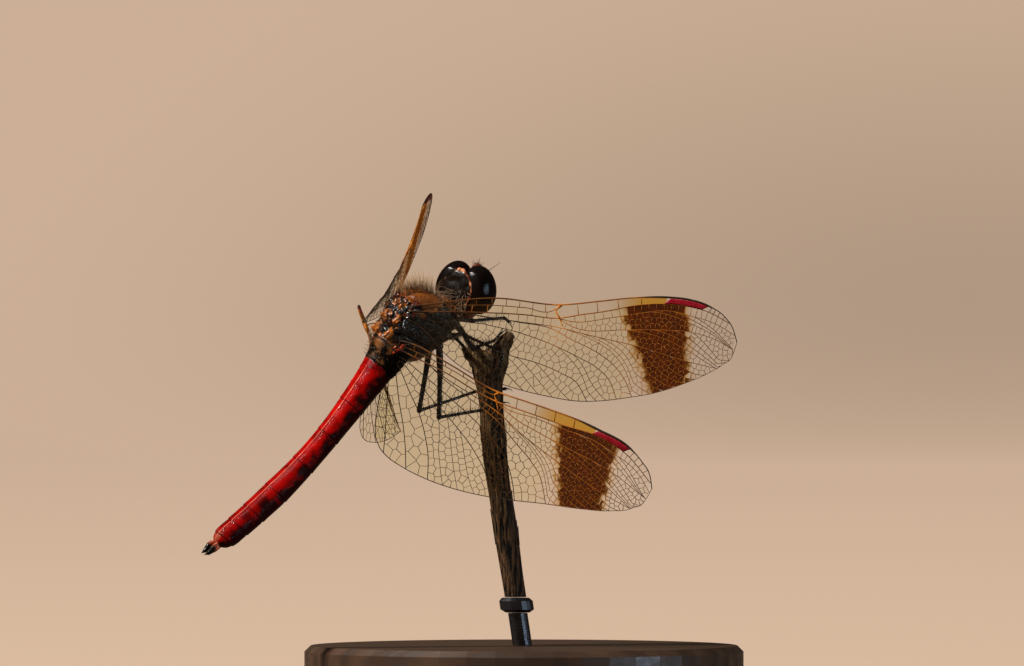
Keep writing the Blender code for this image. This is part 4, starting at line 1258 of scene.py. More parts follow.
def build_back(finish):
    """The crowded lumpy plates between the wings and the small ones that carry the wings."""
    chance = np.random.default_rng(3)
    plates = Shape("warm", "red")
    spots = [(*plate, 0.0) for plate in BACK_PLATES]
    for _ in range(SMALL_LUMPS):
        x, y = chance.uniform(-2.6, 0.55), chance.uniform(0.12, 1.45)
        z = float(np.interp(x, [-2.6, -1.2, 0.5], [2.02, 2.48, 2.72]))
        z = z - 0.32 * max(y - 0.75, 0) ** 1.3 + chance.uniform(-0.08, 0.06)
        size = chance.uniform(0.09, 0.20) * chance.uniform(0.7, 1.5, 3) * (1, 1, 0.8)
        turn = chance.uniform(-40, 40, 3)
        warm = chance.choice([0.0, 0.1, 0.55, 1.0], p=[0.50, 0.20, 0.16, 0.14])
        spots.append(((x, y, z), size, turn, warm, 0.0))
    for plan in (FORE_PLAN, HIND_PLAN):
        for offset, radii, turn in HINGE_PLATES:
            spot = np.add(plan["root"], offset)
            spots.append((spot, np.multiply(1.35, radii), turn, 0.3, chance.choice([0.0, 0.5, 1.0])))
    for (x, y, z), radii, (roll, tip, spin), warm, red in spots:
        for side in ((1, -1) if y else (1,)):
            bend = (side * roll, tip, side * spin)
            add_blob(plates, (x, side * y, z), radii, bend, 0.50, 26, 16, body_to_room, warm=warm, red=red)
    plates.build("back_plates", finish, "thorax")


# ------------------------------------------------------------------ head

def eye_points(side, rows=110, count=150):
    """An eye: an egg that leans in to the crown, cut flat at the other eye and behind."""
    ball = ball_points(*np.meshgrid(round_angles(count), np.linspace(0.02, math.pi - 0.02, rows)))
    points = ball * (1.60, 1.385, 2.00)
    points[..., 0] = points[..., 0] * (1 - 0.06 * ball[..., 2])
    points = points @ axes_of((side * 13.0, 0, 0)).T + (-0.05, side * 1.24, 0.32)
    inner = side * points[..., 1]
    points[..., 1] = side * np.maximum(inner, 0.03 + 0.25 * (inner - 0.03) * (inner < 0.03))
    back = points[..., 0] + 1.12
    points[..., 0] = np.where(back < 0, -1.12 + 0.50 * back, points[..., 0])
    return points, ball


def nape_point(angle, reach):
    """A point of the flat back of the head: an angle round it and a share of the way to its rim."""
    y, z = 1.47 * reach * np.cos(angle), 0.12 + 1.66 * reach * np.sin(angle)
    y = y * (1 - 0.10 * np.clip(np.sin(angle), 0, 1))
    x = -1.40 - 0.10 * (1 - reach**2) + 0.08 * ease(reach, 0.88, 1.0) + 0 * angle
    return columns(x, y, z)


def build_eyes(finish):
    for name, side in (("eye_right", -1), ("eye_left", 1)):
        points, ball = eye_points(side)
        rows, count = points.shape[:2]
        flat = points.reshape(-1, 3)
        crown = ease(ball[..., 2], 0.25, 0.85) * ease(ball[..., 0] + 0.4 * ball[..., 2], 0.0, 0.8)
        rim = ease(-ball[..., 2], 0.35, 0.85) * ease(-ball[..., 0], -0.5, 0.5)
        eye = Shape("crown", "rim")
        faces = ring_faces(rows, count, flip=True)
        eye.add(head_to_room(flat), faces, crown=crown.reshape(-1), rim=rim.reshape(-1))
        eye.build(name + "_facets", finish, "eye", (name,))


def build_head(finish):
    """The capsule between the eyes: flat back of the head, brow, nose plate, lips and jaws."""
    capsule = Shape("pale", "red")
    add_blob(capsule, (-0.35, 0, 0.10), (0.95, 1.52, 1.46), (0, 0, 0), 0.04, 64, 40, head_to_room)
    sides, rings = 90, 34
    plate = nape_point(round_angles(sides)[None, :], np.linspace(0.02, 1.0, rings)[:, None])
    bulge = 0.05 * wobble(plate.reshape(-1, 3), 2.2).reshape(rings, sides)
    plate[..., 0] -= bulge + 0.06 * bell(np.abs(plate[..., 1]) - 0.62, 0.30)
    capsule.add(head_to_room(plate.reshape(-1, 3)), ring_faces(rings, sides, flip=True))
    for side in (-1, 1):
        around = math.pi / 2 + side * -1 * np.radians(np.linspace(14, 150, 60))
        rim = nape_point(around, 0.985) - (0.04, 0, 0)
        share = np.linspace(0, 1, 60)
        spots = np.clip(0.15 + 0.55 * np.sin(share * 37.0 + 0.5) + 0.55 * np.sin(share * 16.0 + 1.0), 0, 1)
        pale = spots * (1.0 if side < 0 else 0.15)
        thick = (0.055 if side < 0 else 0.035) + 0.045 * spots
        thick = thick * (1 - ease(share, 0.75, 1.0) * 0.8)
        add_tube(capsule, head_to_room(rim), thick, 10, pale=pale, red=float(side < 0))
        add_blob(capsule, (-0.60, side * 1.05, -1.25), (0.55, 0.42, 0.36), (0, 0, 0), 0.12, 28, 18,
                 head_to_room, red=0.9)
        add_blob(capsule, (-1.14, side * 0.17, 1.66), (0.26, 0.20, 0.22), (0, 0, 0), 0.12, 28, 18,
                 head_to_room, pale=1.0, red=1.0)
    build_face(capsule)
    capsule.build("head_capsule", finish, "head", ("head", "face", "jaw"))


def build_face(capsule):
    """Swollen vertex, brow, nose plate, upper lip, cheeks and the jaws below them."""
    lumps = [
        ((1.02, 0, 1.86), (0.40, 0.46, 0.44), 0.0, 0.75),
        ((1.00, 0, 1.10), (0.60, 0.80, 0.58), 0.0, 0.85),
        ((1.06, 0, 0.30), (0.64, 0.94, 0.50), 0.0, 0.80),
        ((1.12, 0, -0.42), (0.60, 0.90, 0.46), 0.15, 0.95),
        ((0.98, 0, -1.10), (0.60, 0.90, 0.48), 0.10, 0.90),
        ((0.30, 0, -1.78), (0.85, 0.86, 0.42), 0.0, 0.70),
        ((0.60, 0.78, -1.30), (0.56, 0.42, 0.52), 0.10, 0.90),
        ((0.15, 0.62, -1.82), (0.62, 0.38, 0.36), 0.2, 0.85),
        ((1.20, 0.30, 1.62), (0.12, 0.12, 0.12), 0.9, 1.0),
    ]
    for (x, y, z), radii, pale, red in lumps:
        for side in ((1, -1) if y else (1,)):
            add_blob(capsule, (x, side * y, z), radii, (0, 0, 0), 0.07, 44, 28,
                     head_to_room, pale=pale, red=red)


def build_antennae(finish):
    """Two short thick joints and a bristle-fine whip on each side."""
    for name, side in (("antenna_right", -1), ("antenna_left", 1)):
        path = smooth_path([
            (1.28, side * 0.42, 1.30), (1.62, side * 0.52, 1.62), (2.05, side * 0.74, 2.02),
            (2.70, side * 1.03, 2.58),
        ], 26)
        share = np.linspace(0, 1, 26)
        radii = 0.115 * (1 - ease(share, 0.16, 0.30)) + 0.045 * (1 - 0.75 * share)
        whip = Shape()
        add_tube(whip, head_to_room(path), radii, 10)
        whip.build(name + "_whip", finish, "leg", (name,))


# ------------------------------------------------------------------ legs

def leg_path(name):
    """Hip, knee, ankle and toe of a leg, in the room's axes."""
    hip, *rest = LEGS[name]
    return [body_to_room(hip), *(np.array(point) for point in rest)]


def build_leg(name, finish, seed):
    """Thigh, shin and foot with joints, rows of spines and two claws."""
    chance = np.random.default_rng(seed)
    hip, knee, ankle, toe = leg_path(name)
    limb = Shape()
    fold = unit(np.cross(knee - hip, ankle - knee))
    bow = unit(np.cross(fold, knee - hip)) * 0.10
    thigh = smooth_path([hip, hip * 0.6 + knee * 0.4 + bow, knee - unit(knee - hip) * 0.05], 26)
    share = np.linspace(0, 1, 26)
    girth = 0.26 - 0.08 * share + 0.05 * bell(share - 0.28, 0.2) + 0.04 * bell(share - 1, 0.05)
    add_tube(limb, thigh, girth, 14, fold)
    add_blob(limb, knee, (0.21, 0.21, 0.21), (0, 0, 0), 0.05, 16, 12)
    up = BODY_AXES @ np.array((-0.15, 0.0, 0.30))
    add_blob(limb, hip + up, (0.50, 0.46, 0.56), (0, 0, 0), 0.22, 26, 18)
    add_blob(limb, hip + unit(knee - hip) * 0.28, (0.36, 0.36, 0.36), (0, 0, 0), 0.14, 20, 14)
    shin = smooth_path([knee, knee * 0.5 + ankle * 0.5 + bow * 0.6, ankle], 24)
    share = np.linspace(0, 1, 24)
    girth = 0.135 - 0.02 * share + 0.03 * bell(share, 0.08) + 0.03 * bell(share - 1, 0.05)
    add_tube(limb, shin, girth, 12, fold)
    add_foot(limb, ankle, toe, fold)
    for start, end, count, reach, near in ((hip, knee, 13, 0.34, 0.24), (knee, ankle, 11, 0.62, 0.13)):
        along = unit(end - start)
        for row, lean in ((0, 0.8), (1, -0.8), (2, 2.4)):
            out = unit(math.cos(lean) * np.cross(fold, along) + math.sin(lean) * fold)
            for k in range(count if row < 2 else count // 2):
                at = start + (end - start) * (0.16 + 0.80 * (k + 0.5 * (row % 2)) / count)
                aim = unit(out + 0.55 * along + chance.normal(0, 0.08, 3))
                length = reach * chance.uniform(0.75, 1.1) * (1.0 if row < 2 else 0.6)
                add_spike(limb, at + out * near * 0.8, at + out * near + aim * length, 0.026, along * 0.03)
    parts = [f"{name}_{part}" for part in ("femur", "tibia", "tarsus")]
    limb.build(name + "_limb", finish, "leg", parts)


def add_foot(limb, ankle, toe, fold):
    """Three slim joints that end in a pair of hooked claws."""
    along, length = unit(toe - ankle), np.linalg.norm(toe - ankle)
    down = unit(np.cross(along, fold))
    for low, high in ((0.0, 0.26), (0.26, 0.55), (0.55, 0.92)):
        steps = np.linspace(low, high, 7)
        path = ankle + along * length * steps[:, None]
        inner = np.linspace(0, 1, 7)
        add_tube(limb, path, 0.085 + 0.045 * inner + 0.02 * bell(inner - 1, 0.2), 10)
        for side in (-1, 1):
            root = path[-1] + fold * side * 0.08
            add_spike(limb, root, root + unit(along + fold * side * 0.8 + down * 0.5) * 0.16, 0.016)
    for side in (-1, 1):
        base = ankle + along * length * 0.90 + fold * side * 0.07
        bends = ((0, 0, 0), (0.20, 0.10, 0), (0.36, 0.15, 0.12), (0.38, 0.16, 0.30))
        hook = smooth_path([base + along * a + fold * side * b + down * c for a, b, c in bends], 12)
        add_tube(limb, hook, 0.055 * (1 - 0.85 * np.linspace(0, 1, 12)), 8)


# ------------------------------------------------------------------ perch

def stem_middle(z):
    return smooth_line([(height, middle) for height, middle, _ in STEM_STATIONS])(z)


def stem_skin(z, angle):
    """Points of the stem's bark, with its long ribs and cracks."""
    radius = smooth_line([(height, r) for height, _, r in STEM_STATIONS])(z)
    ribs = 0.035 * np.sin(5 * angle + 0.6 * z) + 0.02 * np.sin(13 * angle + 0.25 * z + 1.0)
    x, y = np.cos(angle), np.sin(angle)
    grain = wobble(columns(3.2 * x, 3.2 * y, 0.22 * z).reshape(-1, 3), 1.0).reshape(x.shape)
    radius = radius * (0.985 + ribs + 0.10 * np.clip(grain, -1, 0.35))
    return columns(stem_middle(z) + radius * x, radius * y, z)


def crown_height(angle):
    """Height of the torn rim: a high prong to the right, a flap to the left and splinters between."""
    rim = 27.30 + 0.20 * np.sin(2 * angle + 1.0) + 0.18 * np.sin(5 * angle) + 0.12 * np.sin(11 * angle + 2.0)
    return rim + 0.55 * bell(np.degrees(wrapped(angle)), 40) + 0.25 * bell(np.degrees(angle) - 180, 30)


def build_perch(finish):
    """The cut stem with long bark fibres and a broken, hollow crown."""
    rings, sides = 260, 96
    angle = round_angles(sides)
    share = np.linspace(0, 1, rings)
    top = crown_height(angle)
    z = STEM_FOOT + (top[None] - STEM_FOOT) * share[:, None]
    bark = stem_skin(z, np.broadcast_to(angle, z.shape))
    steps = 14
    inner = []
    for k in range(1, steps + 1):
        depth = k / steps
        middle = columns(stem_middle(z[-1]), 0.0, STEM_HOLLOW)
        pull = 1 - 0.97 * depth**0.8
        fall = np.minimum(1, depth * 2.2)
        ring = middle + (bark[-1] - middle) * (pull, pull, 0)
        jag = 0.16 * np.sin(9 * angle + 5 * depth) * (1 - depth)
        ring[:, 2] = top * (1 - fall) + (26.85 - 0.25 * depth) * fall + jag * fall
        inner.append(ring)
    points = np.concatenate([bark.reshape(-1, 3), np.concatenate(inner)])
    fringe = 0.5 * ease(share, 0.80, 0.95) + 0.5 * ease(share, 0.955, 0.995)
    torn = np.append(np.repeat(fringe, sides), np.ones(steps * sides))
    stem = Shape("torn")
    stem.add(points, ring_faces(rings + steps, sides), torn=torn)
    chance = np.random.default_rng(11)
    add_splinter(stem, PRONG_PATH, PRONG_RADII, 0.4)
    add_splinter(stem, FLAP_PATH, FLAP_RADII, 0.9)
    for _ in range(CROWN_SPLINTERS):
        around = chance.uniform(0, TURN)
        low = float(crown_height(np.array(around))) - chance.uniform(0.3, 1.2)
        root = stem_skin(np.array([low]), np.array([around]))[0]
        out = np.array((math.cos(around), math.sin(around), 0))
        tip = root + out * chance.uniform(-0.15, 0.35) + (0, 0, chance.uniform(0.5, 1.5))
        girth, bend = chance.uniform(0.05, 0.13), out * chance.uniform(-0.05, 0.1)
        add_spike(stem, root - out * 0.08, tip, girth, bend, 5, torn=chance.uniform(0.2, 1.0))
    for _ in range(BARK_STRIPS):
        around, low = chance.uniform(0, TURN), chance.uniform(7.5, 25.0)
        long = chance.uniform(0.8, 3.2)
        heights = np.linspace(low, min(low + long, 26.2), 8)
        strip = stem_skin(heights, np.full(8, around) + 0.03 * np.sin(heights))
        out = np.array((math.cos(around), math.sin(around), 0))
        lift = (0.02 + 0.10 * np.linspace(0, 1, 8) ** 2 * chance.uniform(0, 1))[:, None]
        add_tube(stem, strip + out * lift, chance.uniform(0.025, 0.06), 5, torn=chance.uniform(0, 0.7))
    stem.build("broken_stem", finish, "stem", ("perch",))


def add_splinter(stem, path, radii, torn):
    """A torn tongue of wood with ragged sides, thinning to its end."""
    count, sides = 40, 22
    share = np.linspace(0, 1, count)
    widths = np.interp(share, np.linspace(0, 1, len(radii)), radii)
    angle = round_angles(sides, 0.5)
    places = columns(2.5 * np.cos(angle)[None], 2.5 * np.sin(angle)[None], 3.0 * share[:, None] + path[0][0])
    rough = wobble(places.reshape(-1, 3), 1.0).reshape(count, sides)
    size = widths[:, None] * (1 + 0.40 * rough) * (1 - 0.85 * ease(share, 0.93, 1.0))[:, None]
    add_tube(stem, smooth_path(path, count), size, sides, (0, 1, 0), 0.72, torn=torn * share)


# ------------------------------------------------------------------ hair

# How many hairs are tried on the lower sides, and how many stand on the waist, the nape and the face
SIDE_HAIRS, WAIST_HAIRS, NAPE_HAIRS, FACE_BRISTLES = 3600, 130, 190, 260
HAIR_POINTS = 9  # three rings of three points
PATCH_RADIUS = 0.0015


def bake_map(thing, roots, counts):
    """Lays each bristle's faces in a tiny patch at its root's place, on the map called OFBake."""
    mesh = thing.data
    layer = mesh.uv_layers.new(name="OFBake")
    loops = np.empty(len(mesh.loops), dtype=np.int64)
    mesh.loops.foreach_get("vertex_index", loops)
    owner = np.repeat(np.arange(len(counts)), counts)
    inside = np.concatenate([np.arange(count) / count for count in counts])
    angle = TURN * inside
    spot = roots[owner] + PATCH_RADIUS * columns(np.cos(angle), np.sin(angle))
    layer.data.foreach_set("uv", spot[loops].astype(np.float32).ravel())


def add_coat(name, finish, slot, roots, directions, lengths, radius, chart, chance):
    """Fine bristles at the given roots, each bent a little, as one mesh with its map."""
    coat = Shape("tip")
    for root, aim, length in zip(roots, directions, lengths):
        lean = chance.normal(0, 0.10, 3) * length
        path = [root - aim * 0.03, root + aim * 0.5 * length + lean * 0.3, root + aim * length + lean]
        add_tube(coat, path, (radius, 0.7 * radius, 0.15 * radius), 3, tip=(0.0, 0.5, 1.0))
    thing = coat.build(name, finish, slot)
    bake_map(thing, chart, np.full(len(roots), HAIR_POINTS))


def trunk_hairs(chance, count):
    """Roots, directions and lengths of the golden fur on the back and the sides."""
    x = chance.uniform(-2.4, 2.85, count)
    angle = chance.uniform(-1.1, math.pi + 1.1, count)
    roots = trunk_surface(x, angle)
    outward = unit(roots * (0.15, 1, 1))
    front = (x > 0.70) & (roots[:, 2] > 1.0 - 0.4 * (x - 0.7))
    chosen = chance.uniform(0, 1, count) < np.where(front, np.where(roots[:, 1] > -0.35, 0.65, 0.16), 0.08)
    long = front & (roots[:, 1] > -0.35) & (chance.uniform(0, 1, count) < 0.60)
    lengths = np.where(long, chance.uniform(0.6, 1.25, count), chance.uniform(0.2, 0.5, count))
    lengths = lengths * (1 + 0.40 * ease(x, 1.0, 2.4))
    forward = np.where(front, 0.55, 0.0)[:, None] * (1.0, 0.0, 0.25)
    aim = unit(outward + forward + chance.normal(0, 0.15, (count, 3)))
    chart = columns((x + 3) / 7, (angle + 1.2) / (math.pi + 2.4))
    return roots[chosen], aim[chosen], lengths[chosen], chart[chosen]


def build_hair(finishes, settings):
    """Golden fur on the thorax, pale hair behind the head and short bristles on the face."""
    chance = np.random.default_rng(5)
    roots, aim, lengths, chart = trunk_hairs(chance, settings.fur_count)
    add_coat("thorax_fur", finishes["fur"], "thorax", body_to_room(roots), aim @ BODY_AXES.T, lengths, 0.011,
             chart, chance)
    roots, aim, lengths, chart = trunk_hairs(chance, SIDE_HAIRS)
    kept = (roots[:, 2] < 1.2) & (np.abs(roots[:, 1]) > 0.5)
    add_coat("side_hair", finishes["pale_hair"], "thorax", body_to_room(roots[kept]), aim[kept] @ BODY_AXES.T,
             1.2 * lengths[kept], 0.011, chart[kept], chance)
    count = WAIST_HAIRS
    x, angle = chance.uniform(-4.7, -2.7, count), chance.uniform(-0.4, 2.6, count)
    aim = unit(columns(-0.3, np.cos(angle), np.sin(angle)) + chance.normal(0, 0.2, (count, 3)))
    radius = 0.98 * smooth_line(ABDOMEN_STATIONS)(x)
    roots = columns(x, radius * np.cos(angle), radius * np.sin(angle) + abdomen_middle(x))
    add_coat("waist_hair", finishes["pale_hair"], "waist", body_to_room(roots), aim @ BODY_AXES.T,
             chance.uniform(0.35, 0.8, count), 0.009, columns((x + 5) / 3, (angle + 0.5) / 3.2), chance)
    count = NAPE_HAIRS
    across, up = chance.uniform(-1.2, 1.2, count), chance.uniform(-1.5, 0.1, count)
    aim = unit(columns(-0.8, across * 0.8, up * 0.5) + chance.normal(0, 0.22, (count, 3)))
    chart = columns((across + 1.3) / 2.6, (up + 1.6) / 1.9)
    add_coat("nape_hair", finishes["pale_hair"], "head", head_to_room(columns(-1.42, across, up)),
             aim @ HEAD_AXES.T, chance.uniform(0.35, 0.85, count), 0.012, chart, chance)
    count = FACE_BRISTLES
    across, up = chance.uniform(-0.7, 0.7, count), chance.uniform(-1.7, 1.9, count)
    top = up > 1.2
    reach = np.where(top, 1.25 - 0.3 * (up - 1.2), 1.66 - 0.12 * np.abs(up - 0.2))
    roots = columns(reach - 0.35 * across**2, across * np.where(top, 0.6, 1.0), up + 0.35 * top)
    aim = columns(np.where(top, 0.15, 0.8), 0.8 * across, 0.3 + np.where(top, 0.8, 0.3 * up))
    aim = unit(aim + chance.normal(0, 0.2, (count, 3)))
    chart = columns((across + 1) / 2, (up + 1.8) / 4)
    add_coat("face_bristles", finishes["bristle"], "face", head_to_room(roots), aim @ HEAD_AXES.T,
             chance.uniform(0.25, 0.6, count), 0.012, chart, chance)


# ------------------------------------------------------------------ stage

def add_light(name, energy, aim_from, colour, size):
    """A soft light that points at the middle of the model."""
    lamp = bpy.data.lights.new(name, "AREA")
    lamp.energy, lamp.color, lamp.size = energy, colour, size
    thing = bpy.data.objects.new(name, lamp)
    thing.location = Vector(VIEW_CENTRE) * MM + Vector(aim_from)
    thing.rotation_euler = (-Vector(aim_from)).to_track_quat("-Z", "Y").to_euler()
    thing.visible_glossy = size < LARGEST_GLINT
    bpy.context.scene.collection.objects.link(thing)


def build_backdrop(colour):
    """A wide round dish: a flat floor that curves up all round into a wall."""
    sides = 128
    bend = np.linspace(0, math.pi / 2, 24)
    radii = np.concatenate([[0.004, 0.012, 0.02, 0.3, 0.8, 1.2], 1.5 + 0.7 * np.sin(bend), [2.2]])
    heights = np.concatenate([np.zeros(6), 0.7 * (1 - np.cos(bend)), [2.6]])
    angles = round_angles(sides)
    points = [(r * math.cos(a), r * math.sin(a), z) for r, z in zip(radii, heights) for a in angles]
    faces = ring_faces(len(radii), sides, caps=False) + [tuple(range(sides))]
    mesh = bpy.data.meshes.new("backdrop_dish")
    mesh.from_pydata(points, [], faces)
    mesh.shade_smooth()
    mesh.materials.append(backdrop_finish(colour))
    dish = bpy.data.objects.new("backdrop_dish", mesh)
    bpy.context.scene.collection.objects.link(dish)


def build_camera():
    """A long lens, level with the thorax, square to the wings' spread."""
    lens = bpy.data.cameras.new("camera")
    lens.sensor_width = SENSOR_WIDTH
    lens.lens = SENSOR_WIDTH * CAMERA_DISTANCE / VIEW_WIDTH
    lens.clip_start, lens.clip_end = 0.05, 20.0
    camera = bpy.data.objects.new("camera", lens)
    x, y, z = VIEW_CENTRE
    camera.location = (x * MM, (y - CAMERA_DISTANCE) * MM, z * MM)
    camera.rotation_euler = (math.pi / 2, 0, 0)
    bpy.context.scene.collection.objects.link(camera)
    bpy.context.scene.camera = camera


def build_world():
    world = bpy.data.worlds.new("studio_air")
    world.use_nodes = True
    background = world.node_tree.nodes["Background"]
    background.inputs["Color"].default_value = (1.0, 0.93, 0.85, 1.0)
    background.inputs["Strength"].default_value = 0.12
    bpy.context.scene.world = world
    bpy.context.scene.view_settings.view_transform = "Standard"


# ------------------------------------------------------------------ properties, operators and panel

def colour_property(name, description, default):
    return bpy.props.FloatVectorProperty(
        name=name, description=description, default=default, size=3, min=0.0, max=1.0, subtype="COLOR"
    )


def light_property(name, description, default):
    return bpy.props.FloatProperty(
        name=name, description=description, default=default, min=0.0, subtype="POWER", unit="POWER"
    )


class DARTER_PG_abdomen(bpy.types.PropertyGroup):
    red: colour_property("Red", "Colour of the back of the abdomen", (0.56, 0.002, 0.001))
    # red_deep also darkens the rear segments as painted shade.
    red_deep: colour_property("Deep red", "The darker tone that clouds the red", (0.13, 0.001, 0.0006))
    # dark is the black of the lower sides and joints and also painted shade on the flanks.
    dark: colour_property("Dark sides", "Colour of the lower sides and joints", (0.026, 0.002, 0.002))
    # keel is the colour of a painted highlight along the ridge of the back.
    keel: colour_property("Keel", "Colour of the ridge along the back", (0.80, 0.22, 0.14))


class DARTER_PG_thorax(bpy.types.PropertyGroup):
    orange: colour_property("Orange", "Bright tone of the upper thorax", (0.42, 0.105, 0.006))
    brown: colour_property("Brown", "Deep tone of the upper thorax", (0.10, 0.022, 0.003))
    black: colour_property("Black", "Lighter tone of the black sides", (0.008, 0.009, 0.014))
    fur_count: bpy.props.IntProperty(
        name="Fur", description="How many hairs are tried on the thorax", default=11000, min=0, max=20000
    )


class DARTER_PG_head(bpy.types.PropertyGroup):
    dark: colour_property("Eye dark", "Deepest colour of the eyes", (0.0012, 0.0006, 0.0005))
    brown: colour_property("Eye brown", "Lighter clouds in the eyes", (0.006, 0.0018, 0.0012))
    crown: colour_property("Eye crown", "Colour of the top of the eyes", (0.022, 0.0035, 0.0025))
    rim: colour_property("Eye rim", "Colour of the lower hind edge of the eyes", (0.060, 0.024, 0.006))


class DARTER_PG_wings(bpy.types.PropertyGroup):
    tint: colour_property("Tint", "Tint of the membrane near the body", (0.94, 0.93, 0.75))
    amber: colour_property("Amber", "Colour of the strip on the front edge", (0.64, 0.32, 0.025))
    band: colour_property("Band", "Lighter tone of the brown band", (0.190, 0.031, 0.0004))
    band_deep: colour_property("Deep band", "Darker tone of the brown band", (0.055, 0.009, 0.0004))
    vein: colour_property("Amber vein", "Deep tone of the amber veins", (0.34, 0.090, 0.010))


class DARTER_PG_perch(bpy.types.PropertyGroup):
    dark: colour_property("Dark bark", "Colour between the fibres", (0.003, 0.002, 0.0015))
    fibre: colour_property("Fibre", "Colour of the raised fibres", (0.120, 0.062, 0.028))
    torn: colour_property("Torn wood", "Colour of the torn edges", (0.32, 0.205, 0.115))


class DARTER_PG_stage(bpy.types.PropertyGroup):
    paper: colour_property("Backdrop", "Colour of the floor and the wall", (0.56, 0.40, 0.285))
    key: light_property("Key light", "Strength of the main light", 1.2)
    fill: light_property("Fill light", "Strength of the soft lights in front", 0.3)


class DARTER_OT_abdomen(bpy.types.Operator):
    """Build the red abdomen with its joints and claspers"""
    bl_idname = "darter.abdomen"
    bl_label = "Abdomen"

    def execute(self, context):
        build_abdomen(abdomen_finish(context.scene.darter_abdomen))
        build_claspers(clasper_finish())
        return {"FINISHED"}


class DARTER_OT_thorax(bpy.types.Operator):
    """Build the thorax with its seams, back plates and wing hinges"""
    bl_idname = "darter.thorax"
    bl_label = "Thorax"

    def execute(self, context):
        build_trunk(trunk_finish(context.scene.darter_thorax))
        build_back(plate_finish())
        return {"FINISHED"}


class DARTER_OT_head(bpy.types.Operator):
    """Build the eyes, the head capsule and the antennae"""
    bl_idname = "darter.head"
    bl_label = "Head"

    def execute(self, context):
        build_eyes(eye_finish(context.scene.darter_head))
        build_head(head_finish())
        build_antennae(plain_cuticle("antenna_cuticle", (0.004, 0.003, 0.003), (0.02, 0.013, 0.010), 0.35))
        return {"FINISHED"}


class DARTER_OT_wings(bpy.types.Operator):
    """Build the four wings with their cells, veins and marks"""
    bl_idname = "darter.wings"
    bl_label = "Wings"

    def execute(self, context):
        colours = context.scene.darter_wings
        finishes = {
            "membrane": membrane_finish(colours),
            "vein": vein_finish(colours),
            "stigma": plain_cuticle(
                "stigma_crimson", (0.20, 0.002, 0.008), (0.36, 0.006, 0.020), 0.35, 0.010, 7.0, 2.0,
                Specular_IOR_Level=0.3),
        }
        for seed, name in enumerate(WINGS, start=21):
            build_wing(name, finishes, seed)
        return {"FINISHED"}


class DARTER_OT_legs(bpy.types.Operator):
    """Build the six legs with their spines and claws"""
    bl_idname = "darter.legs"
    bl_label = "Legs"

    def execute(self, context):
        finish = plain_cuticle(
            "leg_cuticle", (0.001, 0.001, 0.001), (0.014, 0.014, 0.017), 0.30, 0.030, 9.0,
            Coat_Weight=1.0, Coat_Roughness=0.12, Specular_IOR_Level=0.10)
        for seed, name in enumerate(LEGS, start=51):
            build_leg(name, finish, seed)
        return {"FINISHED"}


class DARTER_OT_hair(bpy.types.Operator):
    """Build the fur, the nape hair and the bristles of the face"""
    bl_idname = "darter.hair"
    bl_label = "Hair"

    def execute(self, context):
        finishes = {
            "fur": hair_finish("golden_fur", (0.085, 0.034, 0.008), (0.48, 0.27, 0.10)),
            "pale_hair": hair_finish("pale_hair", (0.26, 0.14, 0.07), (0.80, 0.56, 0.38)),
            "bristle": hair_finish("face_bristle", (0.020, 0.012, 0.010), (0.10, 0.06, 0.045)),
        }
        build_hair(finishes, context.scene.darter_thorax)
        return {"FINISHED"}


class DARTER_OT_perch(bpy.types.Operator):
    """Build the broken stem that the dragonfly holds"""
    bl_idname = "darter.perch"
    bl_label = "Perch"

    def execute(self, context):
        build_perch(bark_finish(context.scene.darter_perch))
        return {"FINISHED"}


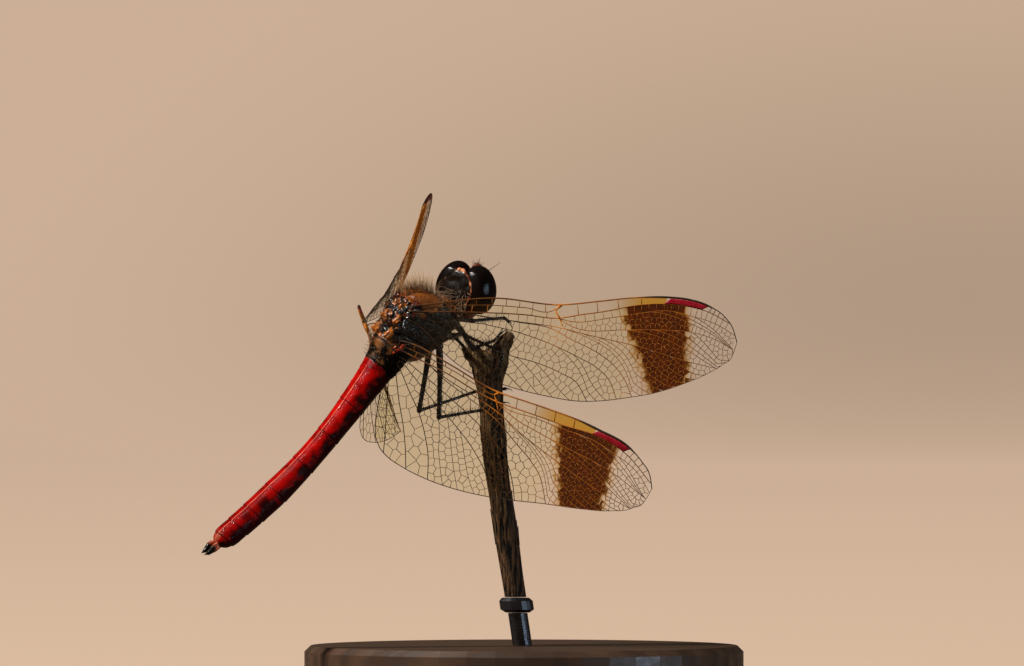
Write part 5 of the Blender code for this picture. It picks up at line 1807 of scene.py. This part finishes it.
class DARTER_OT_stand(bpy.types.Operator):
    """Dress the wooden foot, the rod and the collar"""
    bl_idname = "darter.stand"
    bl_label = "Stand"

    def execute(self, context):
        dress = {
            "stand_base": wood_finish(), "stand_rod": steel_finish("black_steel_rod", 0.30),
            "stand_collar": steel_finish("black_steel_collar", 0.38),
        }
        for name, material in dress.items():
            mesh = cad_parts[name].data
            mesh.materials.clear()
            mesh.materials.append(material)
        return {"FINISHED"}


class DARTER_OT_stage(bpy.types.Operator):
    """Set up the backdrop, the lights and the camera"""
    bl_idname = "darter.stage"
    bl_label = "Stage"

    def execute(self, context):
        settings = context.scene.darter_stage
        build_backdrop(settings.paper)
        build_world()
        build_camera()
        add_light("key", settings.key * 10, *KEY_LIGHT)
        add_light("fill", settings.fill * 2, *FILL_LIGHT)
        add_light("sky", settings.fill * 4, *SKY_LIGHT)
        return {"FINISHED"}


STEPS = (
    DARTER_OT_abdomen, DARTER_OT_thorax, DARTER_OT_head, DARTER_OT_wings, DARTER_OT_legs, DARTER_OT_hair,
    DARTER_OT_perch, DARTER_OT_stand, DARTER_OT_stage,
)
GROUPS = {
    "darter_abdomen": DARTER_PG_abdomen, "darter_thorax": DARTER_PG_thorax, "darter_head": DARTER_PG_head,
    "darter_wings": DARTER_PG_wings, "darter_perch": DARTER_PG_perch, "darter_stage": DARTER_PG_stage,
}


class DARTER_PT_panel(bpy.types.Panel):
    """Lists every step and its settings"""
    bl_idname = "DARTER_PT_panel"
    bl_label = "Banded Darter"
    bl_space_type = "VIEW_3D"
    bl_region_type = "UI"
    bl_category = "Darter"

    def draw(self, context):
        for group in GROUPS:
            settings = getattr(context.scene, group)
            box = self.layout.box()
            for key in settings.__annotations__:
                box.prop(settings, key)
        for step_class in STEPS:
            self.layout.operator(step_class.bl_idname)


def register():
    for item in (*GROUPS.values(), *STEPS, DARTER_PT_panel):
        bpy.utils.register_class(item)
    for name, group in GROUPS.items():
        setattr(bpy.types.Scene, name, bpy.props.PointerProperty(type=group))


def unregister():
    for name in GROUPS:
        delattr(bpy.types.Scene, name)
    for item in reversed((*GROUPS.values(), *STEPS, DARTER_PT_panel)):
        bpy.utils.unregister_class(item)


def main():
    register()
    for item in STEPS:
        family, action = item.bl_idname.split(".")
        getattr(getattr(bpy.ops, family), action)()


if __name__ == "__main__":
    main()
